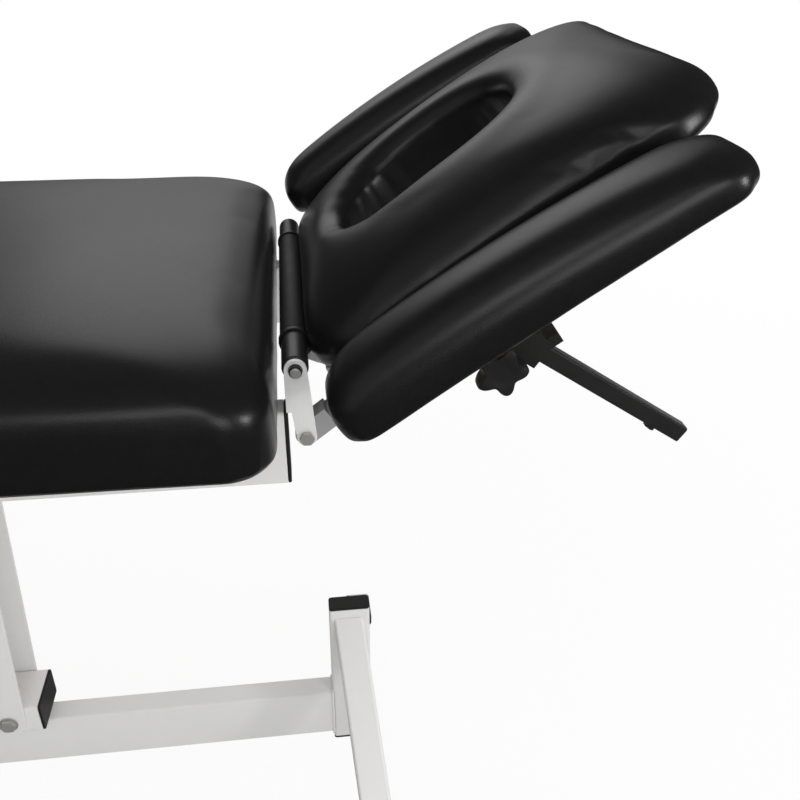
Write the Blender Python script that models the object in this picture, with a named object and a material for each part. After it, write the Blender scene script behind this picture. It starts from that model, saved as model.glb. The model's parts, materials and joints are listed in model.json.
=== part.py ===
"""Electric massage table: cushioned top with a tilting head section on an electric parallel-arm lift."""
import math

import bmesh
import bpy
from mathutils import Matrix, Vector

# Driving dimensions in metres and degrees. X runs to the head end and Z is up.
# X = 0 is the main cushion's head end, until the last lines centre the table.
TABLE_HEIGHT = 0.870
TOP_WIDTH = 0.620
MAIN_LENGTH = 1.420
MAIN_THICKNESS = 0.092
MAIN_CORNER = 0.050
MAIN_EDGE_POWER = 7.0
SIDE_DRAW = 0.004
CUSHION_RIM = 0.012
CUSHION_CURL = 0.0012
CORNER_BLEND = 16
BOARD_THICKNESS = 0.012
BOARD_MARGIN = 0.020

RAIL_HEIGHT = 0.080
RAIL_WIDTH = 0.030
RAIL_SPREAD = 0.370
RAIL_HEAD_REACH = 0.004
RAIL_FOOT_SETBACK = 0.060
TUBE_WALL = 0.002
TUBE_CORNER = 0.004
CAP_FLANGE = 0.0035
CAP_PLUG = 0.012
CROSS_TUBE_SIDE = 0.040
CROSS_TUBE_RISE = 0.025
FRONT_CROSS_X = -0.110

HINGE_X = 0.017
HINGE_DROP = 0.048
HEAD_TILT = 34.5
SHAFT_RADIUS = 0.0125
SHAFT_LENGTH = 0.410
SHAFT_CHAMFER = 0.001
SHAFT_PIN_RADIUS = 0.0062
KNUCKLE_WALL = 0.0039
BRACKET_PLATE = 0.004
BRACKET_STRIP = 0.0055
BRACKET_STRIP_INSET = 0.008
BRACKET_BOSS = 0.0095
BRACKET_WELD = 0.001
SPRING_BOLT_X = 0.0245
SPRING_BOLT_DROP = 0.120
SPRING_BOLT_RADIUS = 0.004
SPRING_BOLT_INSET = 0.001

HEAD_PAD_START = 0.0146
HEAD_PAD_LENGTH = 0.424
HEAD_PAD_WIDTH = 0.4256
HEAD_PAD_HEIGHT = 0.078
HEAD_PAD_DROP = 0.030
HEAD_PAD_CORNER = 0.050
HEAD_EDGE_POWER = 2.9
SLOT_CENTRE = 0.195
SLOT_RIM_LENGTH = 0.262
SLOT_RIM_WIDTH = 0.206
SLOT_RIM_RADIUS = 0.016
SLOT_POWER = 2.4
HEAD_TUBE_SIDE = 0.030
SPRING_TUBE_GAP = 0.0037
HEAD_TUBE_START = 0.014
HEAD_TUBE_END = 0.398
TIP_TUBE_CENTRE = 0.372
HINGE_PLATE = 0.004
HINGE_PLATE_REACH = 0.032
HINGE_RING_WALL = 0.002
PAD_CLEARANCE = 0.0006

ARM_PAD_START = 0.0243
ARM_PAD_LENGTH = 0.369
ARM_PAD_WIDTH = 0.0946
ARM_PAD_HEIGHT = 0.057
ARM_PAD_BOTTOM = -0.0392
ARM_PAD_CORNER = 0.040
ARM_PAD_GAP = 0.0084
ARM_EDGE_POWER = 2.5
ARM_ARCH = 0.20
ARM_TAPER = 0.10
ARM_BOARD_MARGIN = 0.016
FAR_ARM_RAISE = 0.0326
BAR_SIDE = 0.016
BAR_LENGTH = 0.222
BAR_ANGLE = 67.8
BAR_TOP_U = 0.1727
BAR_SPACING = 0.500
BAR_PLATE = 0.003
BAR_PLATE_LENGTH = 0.070
BAR_PLATE_WIDTH = 0.044
STOP_SCREW_INSET = 0.030
CLAMP_WALL = 0.005
CLAMP_SLIDE_GAP = 0.0004
CLAMP_TOP = 0.0125
CLAMP_LENGTH = 0.040
CLAMP_ARM_DROP = 0.078
CLAMP_ARM_THICKNESS = 0.010
CLAMP_ARM_START = 0.1735
CLAMP_ARM_LENGTH = 0.040
EAR_THICKNESS = 0.005
EAR_REACH = 0.034
EAR_LENGTH = 0.024
CLAMP_SLIT = 0.002
STUD_REACH = 0.026
STUD_ALONG = 0.010
STUD_RADIUS = 0.004
KNOB_RADIUS = 0.024
KNOB_THICKNESS = 0.026
KNOB_HUB = 0.009

SPRING_END_U = 0.240
SPRING_END_W = -0.045
SPRING_RADIUS = 0.011
SPRING_BARREL_LENGTH = 0.150
SPRING_ROD_RADIUS = 0.005
SPRING_BORE_DEPTH = 0.120
SPRING_EYE = 0.008
SPRING_LUG = 0.0095
SPRING_LUG_LENGTH = 0.024
SPRING_LUG_DROP = 0.010

BASE_TUBE_TOP = 0.1912
BASE_TUBE_HEIGHT = 0.0838
BASE_TUBE_WIDTH = 0.0333
POST_X = 0.0416
POST_LENGTH = 0.0557
POST_WIDTH = 0.0255
POST_TOP = 0.3465
POST_BOTTOM = 0.092
FOOT_POST_X = -1.275
LEG_SIDE = 0.040
LEG_HEIGHT = 0.306
LEG_REACH = 0.335
LEG_SPLAY = 0.035
FOOT_HEIGHT = 0.022
FOOT_MARGIN = 0.003

BLOCK_LENGTH = 0.115
BLOCK_WIDTH = 0.070
BLOCK_TOP = 0.2377
HEAD_BLOCK_END = -0.3598
PIVOT_HEIGHT = 0.215
HEAD_PIVOT_X = -0.400
FOOT_PIVOT_X = -1.020
TOP_PIVOT_DROP = 0.1906
ARM_LEAN = 3.0
ARM_WIDTH = 0.044
ARM_PLATE = 0.004
ARM_BOLT_RADIUS = 0.006
SPACER_RADIUS = 0.0125
HIGH_SPACER_DROP = 0.120
EAR_PLATE = 0.005
EAR_HALF_LENGTH = 0.022

LUG_ALONG = 0.160
LUG_OFFSET = 0.045
LUG_THICKNESS = 0.008
LUG_SIDE = -0.0115
ACTUATOR_X = -0.520
ACTUATOR_HEIGHT = 0.235
ACTUATOR_RADIUS = 0.021
ACTUATOR_START = 0.040
ACTUATOR_END = 0.290
ACTUATOR_ROD_RADIUS = 0.0115
ACTUATOR_ROD_TAIL = 0.235
ACTUATOR_BORE_FLOOR = 0.095
ACTUATOR_EYE = 0.010
MOTOR_LENGTH = 0.105
MOTOR_WIDTH = 0.052
MOTOR_HEIGHT = 0.056
BOX_LENGTH = 0.140
BOX_WIDTH = 0.090
BOX_HEIGHT = 0.050
BOX_X = -1.240
INLET_LENGTH = 0.048
INLET_HEIGHT = 0.030
INLET_DEPTH = 0.010

FACE_GAP = 0.0003
TURN_GAP = 0.0004
ROUND_STEPS = 24

for old in list(bpy.data.objects):
    bpy.data.objects.remove(old, do_unlink=True)

# Finishes: base colour, roughness, metallic.
FINISHES = {
    "frame_paint": ((0.72, 0.72, 0.72), 0.45, 0.0),
    "leatherette": ((0.022, 0.022, 0.024), 0.38, 0.0),
    "black_plastic": ((0.016, 0.016, 0.016), 0.5, 0.0),
    "black_paint": ((0.02, 0.02, 0.02), 0.4, 0.0),
    "plywood": ((0.5, 0.36, 0.2), 0.7, 0.0),
    "zinc_steel": ((0.6, 0.6, 0.58), 0.35, 1.0),
    "rubber": ((0.02, 0.02, 0.02), 0.85, 0.0),
    "spring_grey": ((0.33, 0.33, 0.33), 0.4, 0.0),
    "housing_grey": ((0.12, 0.12, 0.125), 0.55, 0.0),
}


def own_material(name, finish):
    """A material for one object, from its finish."""
    colour, roughness, metallic = FINISHES[finish]
    material = bpy.data.materials.new(name + "_" + finish)
    material.use_nodes = True
    shader = material.node_tree.nodes["Principled BSDF"]
    shader.inputs["Base Color"].default_value = (*colour, 1.0)
    shader.inputs["Roughness"].default_value = roughness
    shader.inputs["Metallic"].default_value = metallic
    return material


def add_empty(name, place, parent=None):
    """An empty with the given local matrix, for a joint axis or a group."""
    empty = bpy.data.objects.new(name, None)
    bpy.context.scene.collection.objects.link(empty)
    empty.parent = parent
    empty.matrix_local = place
    return empty


def add_object(name, body, finish, parent, smooth=False):
    """Turns a bmesh into a named object with outward faces, in the parent's coordinates."""
    bmesh.ops.recalc_face_normals(body, faces=body.faces)
    mesh = bpy.data.meshes.new(name)
    body.to_mesh(mesh)
    body.free()
    mesh.materials.append(own_material(name, finish))
    if smooth:
        mesh.shade_smooth()
    made = bpy.data.objects.new(name, mesh)
    bpy.context.scene.collection.objects.link(made)
    made.parent = parent
    return made


def combine(target, tool_body, operation):
    """Adds an exact Boolean step to an object; the tool stays hidden."""
    tool = add_object(target.name + "_tool", tool_body, "black_plastic", target.parent)
    tool.hide_render = True
    tool.display_type = "WIRE"
    step = target.modifiers.new(operation.lower(), "BOOLEAN")
    step.object = tool
    step.operation = operation
    step.solver = "EXACT"


def rounded_outline(half_x, half_y, radius, steps=3):
    """Points round a rectangle with rounded corners, anticlockwise."""
    points = []
    for quarter in range(4):
        side_x = 1 if quarter in (0, 3) else -1
        side_y = 1 if quarter in (0, 1) else -1
        for step in range(steps + 1):
            angle = math.pi / 2 * (quarter + step / steps)
            x = side_x * (half_x - radius) + radius * math.cos(angle)
            y = side_y * (half_y - radius) + radius * math.sin(angle)
            points.append((x, y))
    return points


def circle(radius, centre=(0.0, 0.0), steps=ROUND_STEPS):
    """Points round a circle, anticlockwise."""
    points = []
    for step in range(steps):
        angle = 2 * math.pi * step / steps
        points.append((centre[0] + radius * math.cos(angle), centre[1] + radius * math.sin(angle)))
    return points


def link_outline(first, first_radius, second, second_radius, steps=8):
    """Outline of a link with two round ends, anticlockwise."""
    ahead = math.atan2(second[1] - first[1], second[0] - first[0])
    span = math.dist(first, second)
    lean = math.asin((first_radius - second_radius) / span)
    points = []

    def add_point(centre, radius, angle):
        points.append((centre[0] + radius * math.cos(angle), centre[1] + radius * math.sin(angle)))

    for step in range(steps + 1):
        add_point(second, second_radius, ahead + (math.pi / 2 - lean) * (2 * step / steps - 1))
    for step in range(steps + 1):
        turned = (math.pi + 2 * lean) * step / steps
        add_point(first, first_radius, ahead + math.pi / 2 - lean + turned)
    return points


def add_rings(body, rings, loop=False):
    """Skins a row of equal rings; a loop joins the last ring to the first."""
    made = [[body.verts.new(point) for point in ring] for ring in rings]
    pairs = list(zip(made, made[1:]))
    if loop:
        pairs.append((made[-1], made[0]))
    for low, high in pairs:
        for index in range(len(low)):
            following = (index + 1) % len(low)
            body.faces.new((low[index], low[following], high[following], high[index]))
    if not loop:
        body.faces.new(made[0])
        body.faces.new(made[-1])


def add_box(body, low, high, corner=0.0):
    """A block between two corners, with its upright edges rounded when a corner radius is given."""
    centre = ((low[0] + high[0]) / 2, (low[1] + high[1]) / 2)
    half_x = (high[0] - low[0]) / 2
    half_y = (high[1] - low[1]) / 2
    if corner:
        plan = rounded_outline(half_x, half_y, corner)
    else:
        plan = [(half_x, half_y), (-half_x, half_y), (-half_x, -half_y), (half_x, -half_y)]
    rings = []
    for height in (low[2], high[2]):
        rings.append([(centre[0] + x, centre[1] + y, height) for x, y in plan])
    add_rings(body, rings)


def add_turned(body, profile, start, axis, loop=False, steps=ROUND_STEPS):
    """A turned body from (radius, distance) pairs along an axis; a loop makes a bored ring."""
    axis = Vector(axis).normalized()
    turn = axis.to_track_quat("Z", "Y")
    rings = []
    for radius, distance in profile:
        ring = circle(radius, steps=steps)
        rings.append([Vector(start) + turn @ Vector((x, y, distance)) for x, y in ring])
    add_rings(body, rings, loop)


def add_plate(body, outline, holes, depth_from, depth_to, place):
    """A flat plate with holes; place turns (x, y, depth) into a point."""
    edges = []
    for points in [outline] + holes:
        loop = [body.verts.new(place(x, y, depth_from)) for x, y in points]
        for index in range(len(loop)):
            edges.append(body.edges.new((loop[index], loop[(index + 1) % len(loop)])))
    filled = bmesh.ops.triangle_fill(body, use_beauty=True, edges=edges)
    faces = [item for item in filled["geom"] if isinstance(item, bmesh.types.BMFace)]
    grown = bmesh.ops.extrude_face_region(body, geom=faces)
    moved = [item for item in grown["geom"] if isinstance(item, bmesh.types.BMVert)]
    shift = Vector(place(0.0, 0.0, depth_to)) - Vector(place(0.0, 0.0, depth_from))
    bmesh.ops.translate(body, vec=shift, verts=moved)


def upright(x, z, depth):
    """Place for a plate that stands in the X-Z plane with its depth along Y."""
    return (x, depth, z)


def add_tube(body, start, end, across, half_a, half_b, start_normal=None, end_normal=None, wall=TUBE_WALL):
    """A hollow rounded tube from start to end; its ends are cut square or along the given normals."""
    start = Vector(start)
    end = Vector(end)
    axis = (end - start).normalized()
    side_b = axis.cross(Vector(across)).normalized()
    side_a = side_b.cross(axis)

    def ring(centre, normal, inset):
        normal = Vector(normal) if normal else axis
        radius = max(TUBE_CORNER - inset, 0.001)
        points = []
        for a, b in rounded_outline(half_a - inset, half_b - inset, radius):
            point = centre + side_a * a + side_b * b
            points.append(point + axis * ((centre - point).dot(normal) / axis.dot(normal)))
        return points

    rings = [ring(start, start_normal, 0.0), ring(end, end_normal, 0.0)]
    rings += [ring(end, end_normal, wall), ring(start, start_normal, wall)]
    add_rings(body, rings, loop=True)


def add_cap(body, face, outward, across, half_a, half_b):
    """A plastic plug in a tube end: a flange over the end face and a plug inside the walls."""
    outward = Vector(outward).normalized()
    side_b = outward.cross(Vector(across)).normalized()
    side_a = side_b.cross(outward)
    inner = TUBE_WALL + FACE_GAP
    rows = [(inner, -CAP_PLUG), (inner, FACE_GAP), (0.0, FACE_GAP)]
    rows += [(0.0, CAP_FLANGE - 0.001), (0.001, CAP_FLANGE)]
    rings = []
    for inset, distance in rows:
        outline = rounded_outline(half_a - inset, half_b - inset, max(TUBE_CORNER - inset, 0.001))
        rings.append([Vector(face) + outward * distance + side_a * a + side_b * b for a, b in outline])
    add_rings(body, rings)


def add_bolt(body, head_face, inward, grip, radius, nut=True):
    """A hexagon bolt whose head sits on head_face; the nut sits past the grip."""
    inward = Vector(inward).normalized()
    turn = inward.to_track_quat("Z", "Y")
    flats = radius * 1.6

    def hexagon(distance):
        points = []
        for step in range(12):
            reach = flats / math.cos(math.pi / 6) if step % 2 == 0 else flats
            angle = math.pi / 6 * step
            spot = Vector((reach * math.cos(angle), reach * math.sin(angle), distance))
            points.append(Vector(head_face) + turn @ spot)
        return points

    def round_ring(distance):
        return [Vector(head_face) + turn @ Vector((x, y, distance)) for x, y in circle(radius, steps=12)]

    head = radius * 1.1
    rings = [hexagon(-head), hexagon(-FACE_GAP), round_ring(-FACE_GAP)]
    if nut:
        rings += [round_ring(grip + FACE_GAP), hexagon(grip + FACE_GAP), hexagon(grip + head)]
        rings += [round_ring(grip + head), round_ring(grip + head + 0.003)]
    else:
        rings.append(round_ring(grip))
    add_rings(body, rings)


def soft_height(x, y, half_x, half_y, shape):
    """Height of a stuffed top above its widest line, from the nearness of the edge."""
    along = max(0.0, 1.0 - (half_x - abs(x)) / half_y)
    across = min(1.0, abs(y) / half_y)
    spread = min(1.0, (along ** CORNER_BLEND + across ** CORNER_BLEND) ** (1 / CORNER_BLEND))
    dome = (1.0 - spread ** shape["power"]) ** (1 / shape["power"])
    run = x / half_x
    return (shape["height"] - CUSHION_RIM) * dome * (1.0 - shape["arch"] * run ** 2 - shape["taper"] * run)


def cushion_outline(half_x, half_y, corner, inset, counts):
    """Rounded outline with extra points along its sides, reduced by an inset."""
    half_x -= inset
    half_y -= inset
    radius = min(max(corner - inset, corner * 0.3), half_y * 0.9)
    corners = rounded_outline(half_x, half_y, radius, steps=4)
    points = []
    for quarter in range(4):
        arc = corners[quarter * 5:quarter * 5 + 5]
        following = corners[(quarter * 5 + 5) % 20]
        points += arc
        extra = counts[quarter % 2]
        for step in range(1, extra + 1):
            share = step / (extra + 1)
            x = arc[-1][0] + (following[0] - arc[-1][0]) * share
            y = arc[-1][1] + (following[1] - arc[-1][1]) * share
            points.append((x, y))
    return points


def slot_outline(outline, half_x, half_y, offset, rim_x, rim_y):
    """Oval points of the face slot, one for each point of an outline."""
    points = []
    for x, y in outline:
        angle = math.atan2(y / half_y, x / half_x)
        c = math.cos(angle)
        s = math.sin(angle)
        oval_x = math.copysign(abs(c) ** (2 / SLOT_POWER), c) * rim_x
        oval_y = math.copysign(abs(s) ** (2 / SLOT_POWER), s) * rim_y
        points.append((offset + oval_x, oval_y))
    return points


def add_cushion(body, half_x, half_y, corner, shape, margin, counts, slot=None):
    """A stuffed cushion, its underside at zero height, with a pocket for its board and perhaps a slot."""

    def ring(inset, height, draw=True):
        points = []
        for x, y in cushion_outline(half_x, half_y, corner, inset, counts):
            pull = SIDE_DRAW * (1.0 - (x / half_x) ** 2) / half_y if draw else 0.0
            points.append((x, y * (1.0 - pull), height))
        return points

    def lift(points):
        return [(x, y, CUSHION_RIM + soft_height(x, y, half_x, half_y, shape)) for x, y, z in points]

    pocket = BOARD_THICKNESS + FACE_GAP
    rings = [ring(margin - FACE_GAP, pocket, False), ring(margin - FACE_GAP, 0.0, False)]
    rings += [ring(CUSHION_RIM * 0.6, CUSHION_CURL), ring(CUSHION_RIM * 0.18, CUSHION_RIM * 0.35)]
    rings.append(ring(0.0, CUSHION_RIM))
    if slot is None:
        steps = shape["rings"]
        for step in range(1, steps):
            share = math.cos(math.pi / 2 * step / steps) ** (2 / shape["power"])
            rings.append(lift(ring(half_y * (1.0 - share), 0.0)))
        add_rings(body, rings)
        wide = [face for face in body.faces if len(face.verts) > 4]
        bmesh.ops.triangulate(body, faces=wide, ngon_method="BEAUTY")
        return
    plan = cushion_outline(half_x, half_y, corner, 0.0, counts)
    offset, rim_x, rim_y = slot
    edge = rings[-1]
    rim = slot_outline(plan, half_x, half_y, offset, rim_x, rim_y)
    for share in (0.02, 0.06, 0.13, 0.24, 0.40, 0.60, 0.80, 1.0):
        blend = []
        for (x, y, z), (slot_x, slot_y) in zip(edge, rim):
            blend.append((x + (slot_x - x) * share, y + (slot_y - y) * share, 0.0))
        rings.append(lift(blend))
    crest = rings[-1]
    for drop, inset in ((0.25, 0.6), (1.0, 1.0)):
        wall = slot_outline(plan, half_x, half_y, offset, rim_x - SLOT_RIM_RADIUS * inset,
                            rim_y - SLOT_RIM_RADIUS * inset)
        rings.append([(x, y, high[2] - SLOT_RIM_RADIUS * drop) for (x, y), high in zip(wall, crest)])
    rings.append([(x, y, pocket) for x, y, z in rings[-1]])
    add_rings(body, rings, loop=True)


# Joint empties. The assembly empty is moved last, so that the table stands over the origin.
assembly = add_empty("assembly", Matrix.Identity(4))
head_arm_axis = add_empty(
    "head_arm_axis",
    Matrix.Translation((HEAD_PIVOT_X, 0.0, PIVOT_HEIGHT)) @ Matrix.Rotation(math.radians(ARM_LEAN), 4, "Y"),
    assembly)
foot_arm_axis = add_empty(
    "foot_arm_axis",
    Matrix.Translation((FOOT_PIVOT_X, 0.0, PIVOT_HEIGHT)) @ Matrix.Rotation(math.radians(ARM_LEAN), 4, "Y"),
    assembly)
top_pivot_height = TABLE_HEIGHT - TOP_PIVOT_DROP
lift_reach = (top_pivot_height - PIVOT_HEIGHT) / math.cos(math.radians(ARM_LEAN))
top_shift = lift_reach * math.sin(math.radians(ARM_LEAN))
top_axis = add_empty(
    "top_axis", Matrix.Translation((HEAD_PIVOT_X + top_shift, 0.0, top_pivot_height)), assembly)
top_place = Matrix.Translation((-HEAD_PIVOT_X - top_shift, 0.0, -top_pivot_height))
top = add_empty("top_group", top_place, top_axis)
hinge_height = TABLE_HEIGHT - HINGE_DROP
head = add_empty(
    "head_hinge_axis",
    Matrix.Translation((HINGE_X, 0.0, hinge_height)) @ Matrix.Rotation(math.radians(-HEAD_TILT), 4, "Y"),
    top)

# Main cushion and its board.
main_half = MAIN_LENGTH / 2
top_half = TOP_WIDTH / 2
cushion_bottom = TABLE_HEIGHT - MAIN_THICKNESS
main_shape = {"height": MAIN_THICKNESS, "power": MAIN_EDGE_POWER, "arch": 0.0, "taper": 0.0, "rings": 9}
body = bmesh.new()
add_cushion(body, main_half, top_half, MAIN_CORNER, main_shape, BOARD_MARGIN, (6, 3))
bmesh.ops.translate(body, vec=(-main_half, 0.0, cushion_bottom), verts=body.verts)
add_object("main_cushion", body, "leatherette", top, smooth=True)
body = bmesh.new()
board_outline = cushion_outline(main_half, top_half, MAIN_CORNER, BOARD_MARGIN, (6, 3))
add_plate(body, board_outline, [], 0.0, BOARD_THICKNESS,
          lambda x, y, z: (x - main_half, y, z + cushion_bottom))
add_object("main_board", body, "plywood", top)

# Top frame: two rails and three cross tubes, two of them with ears for the lift arms.
rail_top = cushion_bottom - FACE_GAP
rail_mid = rail_top - RAIL_HEIGHT / 2
rail_foot = RAIL_FOOT_SETBACK - MAIN_LENGTH
rail_inner = RAIL_SPREAD / 2 - RAIL_WIDTH / 2
rail_outer = RAIL_SPREAD / 2 + RAIL_WIDTH / 2
for word, side in (("near", -1), ("far", 1)):
    body = bmesh.new()
    y = side * RAIL_SPREAD / 2
    add_tube(body, (rail_foot, y, rail_mid), (RAIL_HEAD_REACH, y, rail_mid), (0, 1, 0),
             RAIL_WIDTH / 2, RAIL_HEIGHT / 2)
    add_object(word + "_rail", body, "frame_paint", top)
    body = bmesh.new()
    add_cap(body, (RAIL_HEAD_REACH, y, rail_mid), (1, 0, 0), (0, 1, 0), RAIL_WIDTH / 2, RAIL_HEIGHT / 2)
    add_object(word + "_rail_cap", body, "black_plastic", top)

cross_half = CROSS_TUBE_SIDE / 2
cross_height = rail_top - RAIL_HEIGHT + CROSS_TUBE_RISE + cross_half
cross_end = rail_inner - FACE_GAP
head_ear_x = HEAD_PIVOT_X + top_shift
foot_ear_x = FOOT_PIVOT_X + top_shift
crossings = {"front": FRONT_CROSS_X, "head": head_ear_x, "foot": foot_ear_x}
cross_tubes = {}
for word, x in crossings.items():
    body = bmesh.new()
    add_tube(body, (x, -cross_end, cross_height), (x, cross_end, cross_height), (1, 0, 0),
             cross_half, cross_half)
    cross_tubes[word] = add_object(word + "_cross_tube", body, "frame_paint", top)

arm_inner = BLOCK_WIDTH / 2 + FACE_GAP
arm_outer = arm_inner + ARM_PLATE
bolt_hole = ARM_BOLT_RADIUS + TURN_GAP
ear_low = top_pivot_height - EAR_HALF_LENGTH
ear_top = cross_height - cross_half + TUBE_WALL / 2
for word, x in (("head", head_ear_x), ("foot", foot_ear_x)):
    outline = [(x + EAR_HALF_LENGTH, ear_low), (x + EAR_HALF_LENGTH * 0.8, ear_top),
               (x - EAR_HALF_LENGTH * 0.8, ear_top), (x - EAR_HALF_LENGTH, ear_low)]
    hole = circle(bolt_hole, (x, top_pivot_height), 16)
    for side in (-1, 1):
        ear = bmesh.new()
        ear_outer = side * BLOCK_WIDTH / 2
        add_plate(ear, outline, [hole], ear_outer - side * EAR_PLATE, ear_outer, upright)
        combine(cross_tubes[word], ear, "UNION")
    body = bmesh.new()
    add_bolt(body, (x, -arm_outer - FACE_GAP, top_pivot_height), (0, 1, 0), 2 * (arm_outer + FACE_GAP),
             ARM_BOLT_RADIUS)
    add_object(word + "_arm_top_bolt", body, "zinc_steel", top)

# Hinge between the top frame and the head section. The shaft's turned-down ends sit in two brackets.
shaft_half = SHAFT_LENGTH / 2
plate_outer = rail_outer
plate_inner = plate_outer - BRACKET_PLATE
shoulder = shaft_half - plate_inner + FACE_GAP
half_profile = [(SHAFT_PIN_RADIUS - SHAFT_CHAMFER, 0.0), (SHAFT_PIN_RADIUS, SHAFT_CHAMFER),
                (SHAFT_PIN_RADIUS, shoulder), (SHAFT_RADIUS - SHAFT_CHAMFER, shoulder),
                (SHAFT_RADIUS, shoulder + SHAFT_CHAMFER)]
other_half = [(radius, SHAFT_LENGTH - distance) for radius, distance in reversed(half_profile)]
body = bmesh.new()
add_turned(body, half_profile + other_half, (HINGE_X, -shaft_half, hinge_height), (0, 1, 0))
add_object("hinge_shaft", body, "black_paint", top, smooth=True)

shaft_bore = SHAFT_RADIUS + TURN_GAP
pin_bore = SHAFT_PIN_RADIUS + TURN_GAP
knuckle_radius = pin_bore + KNUCKLE_WALL
hinge_point = (HINGE_X, hinge_height)
spring_pin = (SPRING_BOLT_X, TABLE_HEIGHT - SPRING_BOLT_DROP)
strip_left = HINGE_X - knuckle_radius
strip_right = strip_left + BRACKET_STRIP
strip_low = rail_top + FACE_GAP
strip_top = hinge_height - SHAFT_RADIUS - PAD_CLEARANCE
for name, side in (("near_hinge_bracket", -1), ("far_hinge_bracket", 1)):
    link = link_outline(hinge_point, knuckle_radius, spring_pin, BRACKET_BOSS, steps=12)
    upper = link[-1]
    lower = link[0]
    share = (strip_right - upper[0]) / (lower[0] - upper[0])
    corner_height = upper[1] + (lower[1] - upper[1]) * share
    outline = [point for point in link if point[1] > hinge_height or point[0] > strip_right]
    outline += [(strip_left, hinge_height), (strip_left, strip_low)]
    outline += [(strip_right, strip_low), (strip_right, corner_height)]
    holes = [circle(pin_bore, hinge_point, 16)]
    if side < 0:
        holes.append(circle(SPRING_BOLT_RADIUS + TURN_GAP, spring_pin, 12))
    body = bmesh.new()
    add_plate(body, outline, holes, side * plate_inner, side * plate_outer, upright)
    made = add_object(name, body, "frame_paint", top)
    strip = bmesh.new()
    strip_ends = (side * (rail_inner + BRACKET_STRIP_INSET), side * (plate_inner + BRACKET_WELD))
    add_box(strip, (strip_left + BRACKET_WELD, min(strip_ends), strip_low + BRACKET_WELD),
            (strip_right - BRACKET_WELD, max(strip_ends), strip_top))
    combine(made, strip, "UNION")
spring_y = plate_inner - FACE_GAP - SPRING_RADIUS
body = bmesh.new()
spring_bolt_grip = BRACKET_PLATE + FACE_GAP + 2 * SPRING_RADIUS - SPRING_BOLT_INSET
add_bolt(body, (spring_pin[0], -plate_outer, spring_pin[1]), (0, 1, 0), spring_bolt_grip,
         SPRING_BOLT_RADIUS, nut=False)
add_object("gas_spring_bolt", body, "zinc_steel", top)

# Head section, in the hinge's own coordinates: u along the section, v across, w out of its upper side.
pad_half_u = HEAD_PAD_LENGTH / 2
pad_half_v = HEAD_PAD_WIDTH / 2
pad_centre = HEAD_PAD_START + pad_half_u
slot = (SLOT_CENTRE - pad_centre, SLOT_RIM_LENGTH / 2, SLOT_RIM_WIDTH / 2)
head_shape = {"height": HEAD_PAD_HEIGHT, "power": HEAD_EDGE_POWER, "arch": 0.0, "taper": 0.0, "rings": 9}
body = bmesh.new()
add_cushion(body, pad_half_u, pad_half_v, HEAD_PAD_CORNER, head_shape, BOARD_MARGIN, (7, 7), slot)
bmesh.ops.translate(body, vec=(pad_centre, 0.0, -HEAD_PAD_DROP), verts=body.verts)
add_object("head_cushion", body, "leatherette", head, smooth=True)
body = bmesh.new()
outline = cushion_outline(pad_half_u, pad_half_v, HEAD_PAD_CORNER, BOARD_MARGIN, (3, 3))
wall_u = slot[1] - SLOT_RIM_RADIUS + FACE_GAP
wall_v = slot[2] - SLOT_RIM_RADIUS + FACE_GAP
hole = slot_outline(circle(1.0, steps=32), 1.0, 1.0, slot[0], wall_u, wall_v)
add_plate(body, outline, [hole], 0.0, BOARD_THICKNESS,
          lambda x, y, z: (x + pad_centre, y, z - HEAD_PAD_DROP))
add_object("head_board", body, "plywood", head)

tube_half = HEAD_TUBE_SIDE / 2
tube_w = -HEAD_PAD_DROP - FACE_GAP - tube_half
tube_outer = spring_y - SPRING_RADIUS - SPRING_TUBE_GAP
tube_mid = tube_outer - tube_half
tube_inner = tube_mid - tube_half
head_tubes = {}
for word, side in (("near", -1), ("far", 1)):
    v = side * tube_mid
    body = bmesh.new()
    add_tube(body, (HEAD_TUBE_START, v, tube_w), (HEAD_TUBE_END, v, tube_w), (0, 1, 0), tube_half, tube_half)
    head_tubes[word] = add_object(word + "_head_tube", body, "frame_paint", head)
body = bmesh.new()
tip_end = tube_inner - FACE_GAP
add_tube(body, (TIP_TUBE_CENTRE, -tip_end, tube_w), (TIP_TUBE_CENTRE, tip_end, tube_w), (1, 0, 0),
         tube_half, tube_half)
add_object("head_tip_tube", body, "frame_paint", head)

tube_bottom = tube_w - tube_half
hinge_plate_inner = tube_inner - HINGE_PLATE
ring_radius = shaft_bore + HINGE_RING_WALL
plate_top = tube_w + tube_half - 0.001
plate_low = tube_bottom + 0.005
plate_right = HEAD_PAD_START - PAD_CLEARANCE
plate_reach = HEAD_TUBE_START + HINGE_PLATE_REACH
for word, side in (("near", -1), ("far", 1)):
    outline = []
    for step in range(15):
        angle = math.radians(-16 + 261 * step / 14)
        outline.append((ring_radius * math.cos(angle), ring_radius * math.sin(angle)))
    outline += [(HEAD_TUBE_START - 0.0095, plate_top), (HEAD_TUBE_START + 0.002, tube_w - 0.001)]
    outline += [(HEAD_TUBE_START + 0.004, plate_low), (plate_reach, plate_low), (plate_reach, plate_top)]
    outline += [(plate_right + 0.0035, plate_top), (plate_right, plate_top + 0.0110)]
    plate = bmesh.new()
    add_plate(plate, outline, [circle(shaft_bore)], side * hinge_plate_inner,
              side * (tube_inner + TUBE_WALL / 2), upright)
    combine(head_tubes[word], plate, "UNION")

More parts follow.
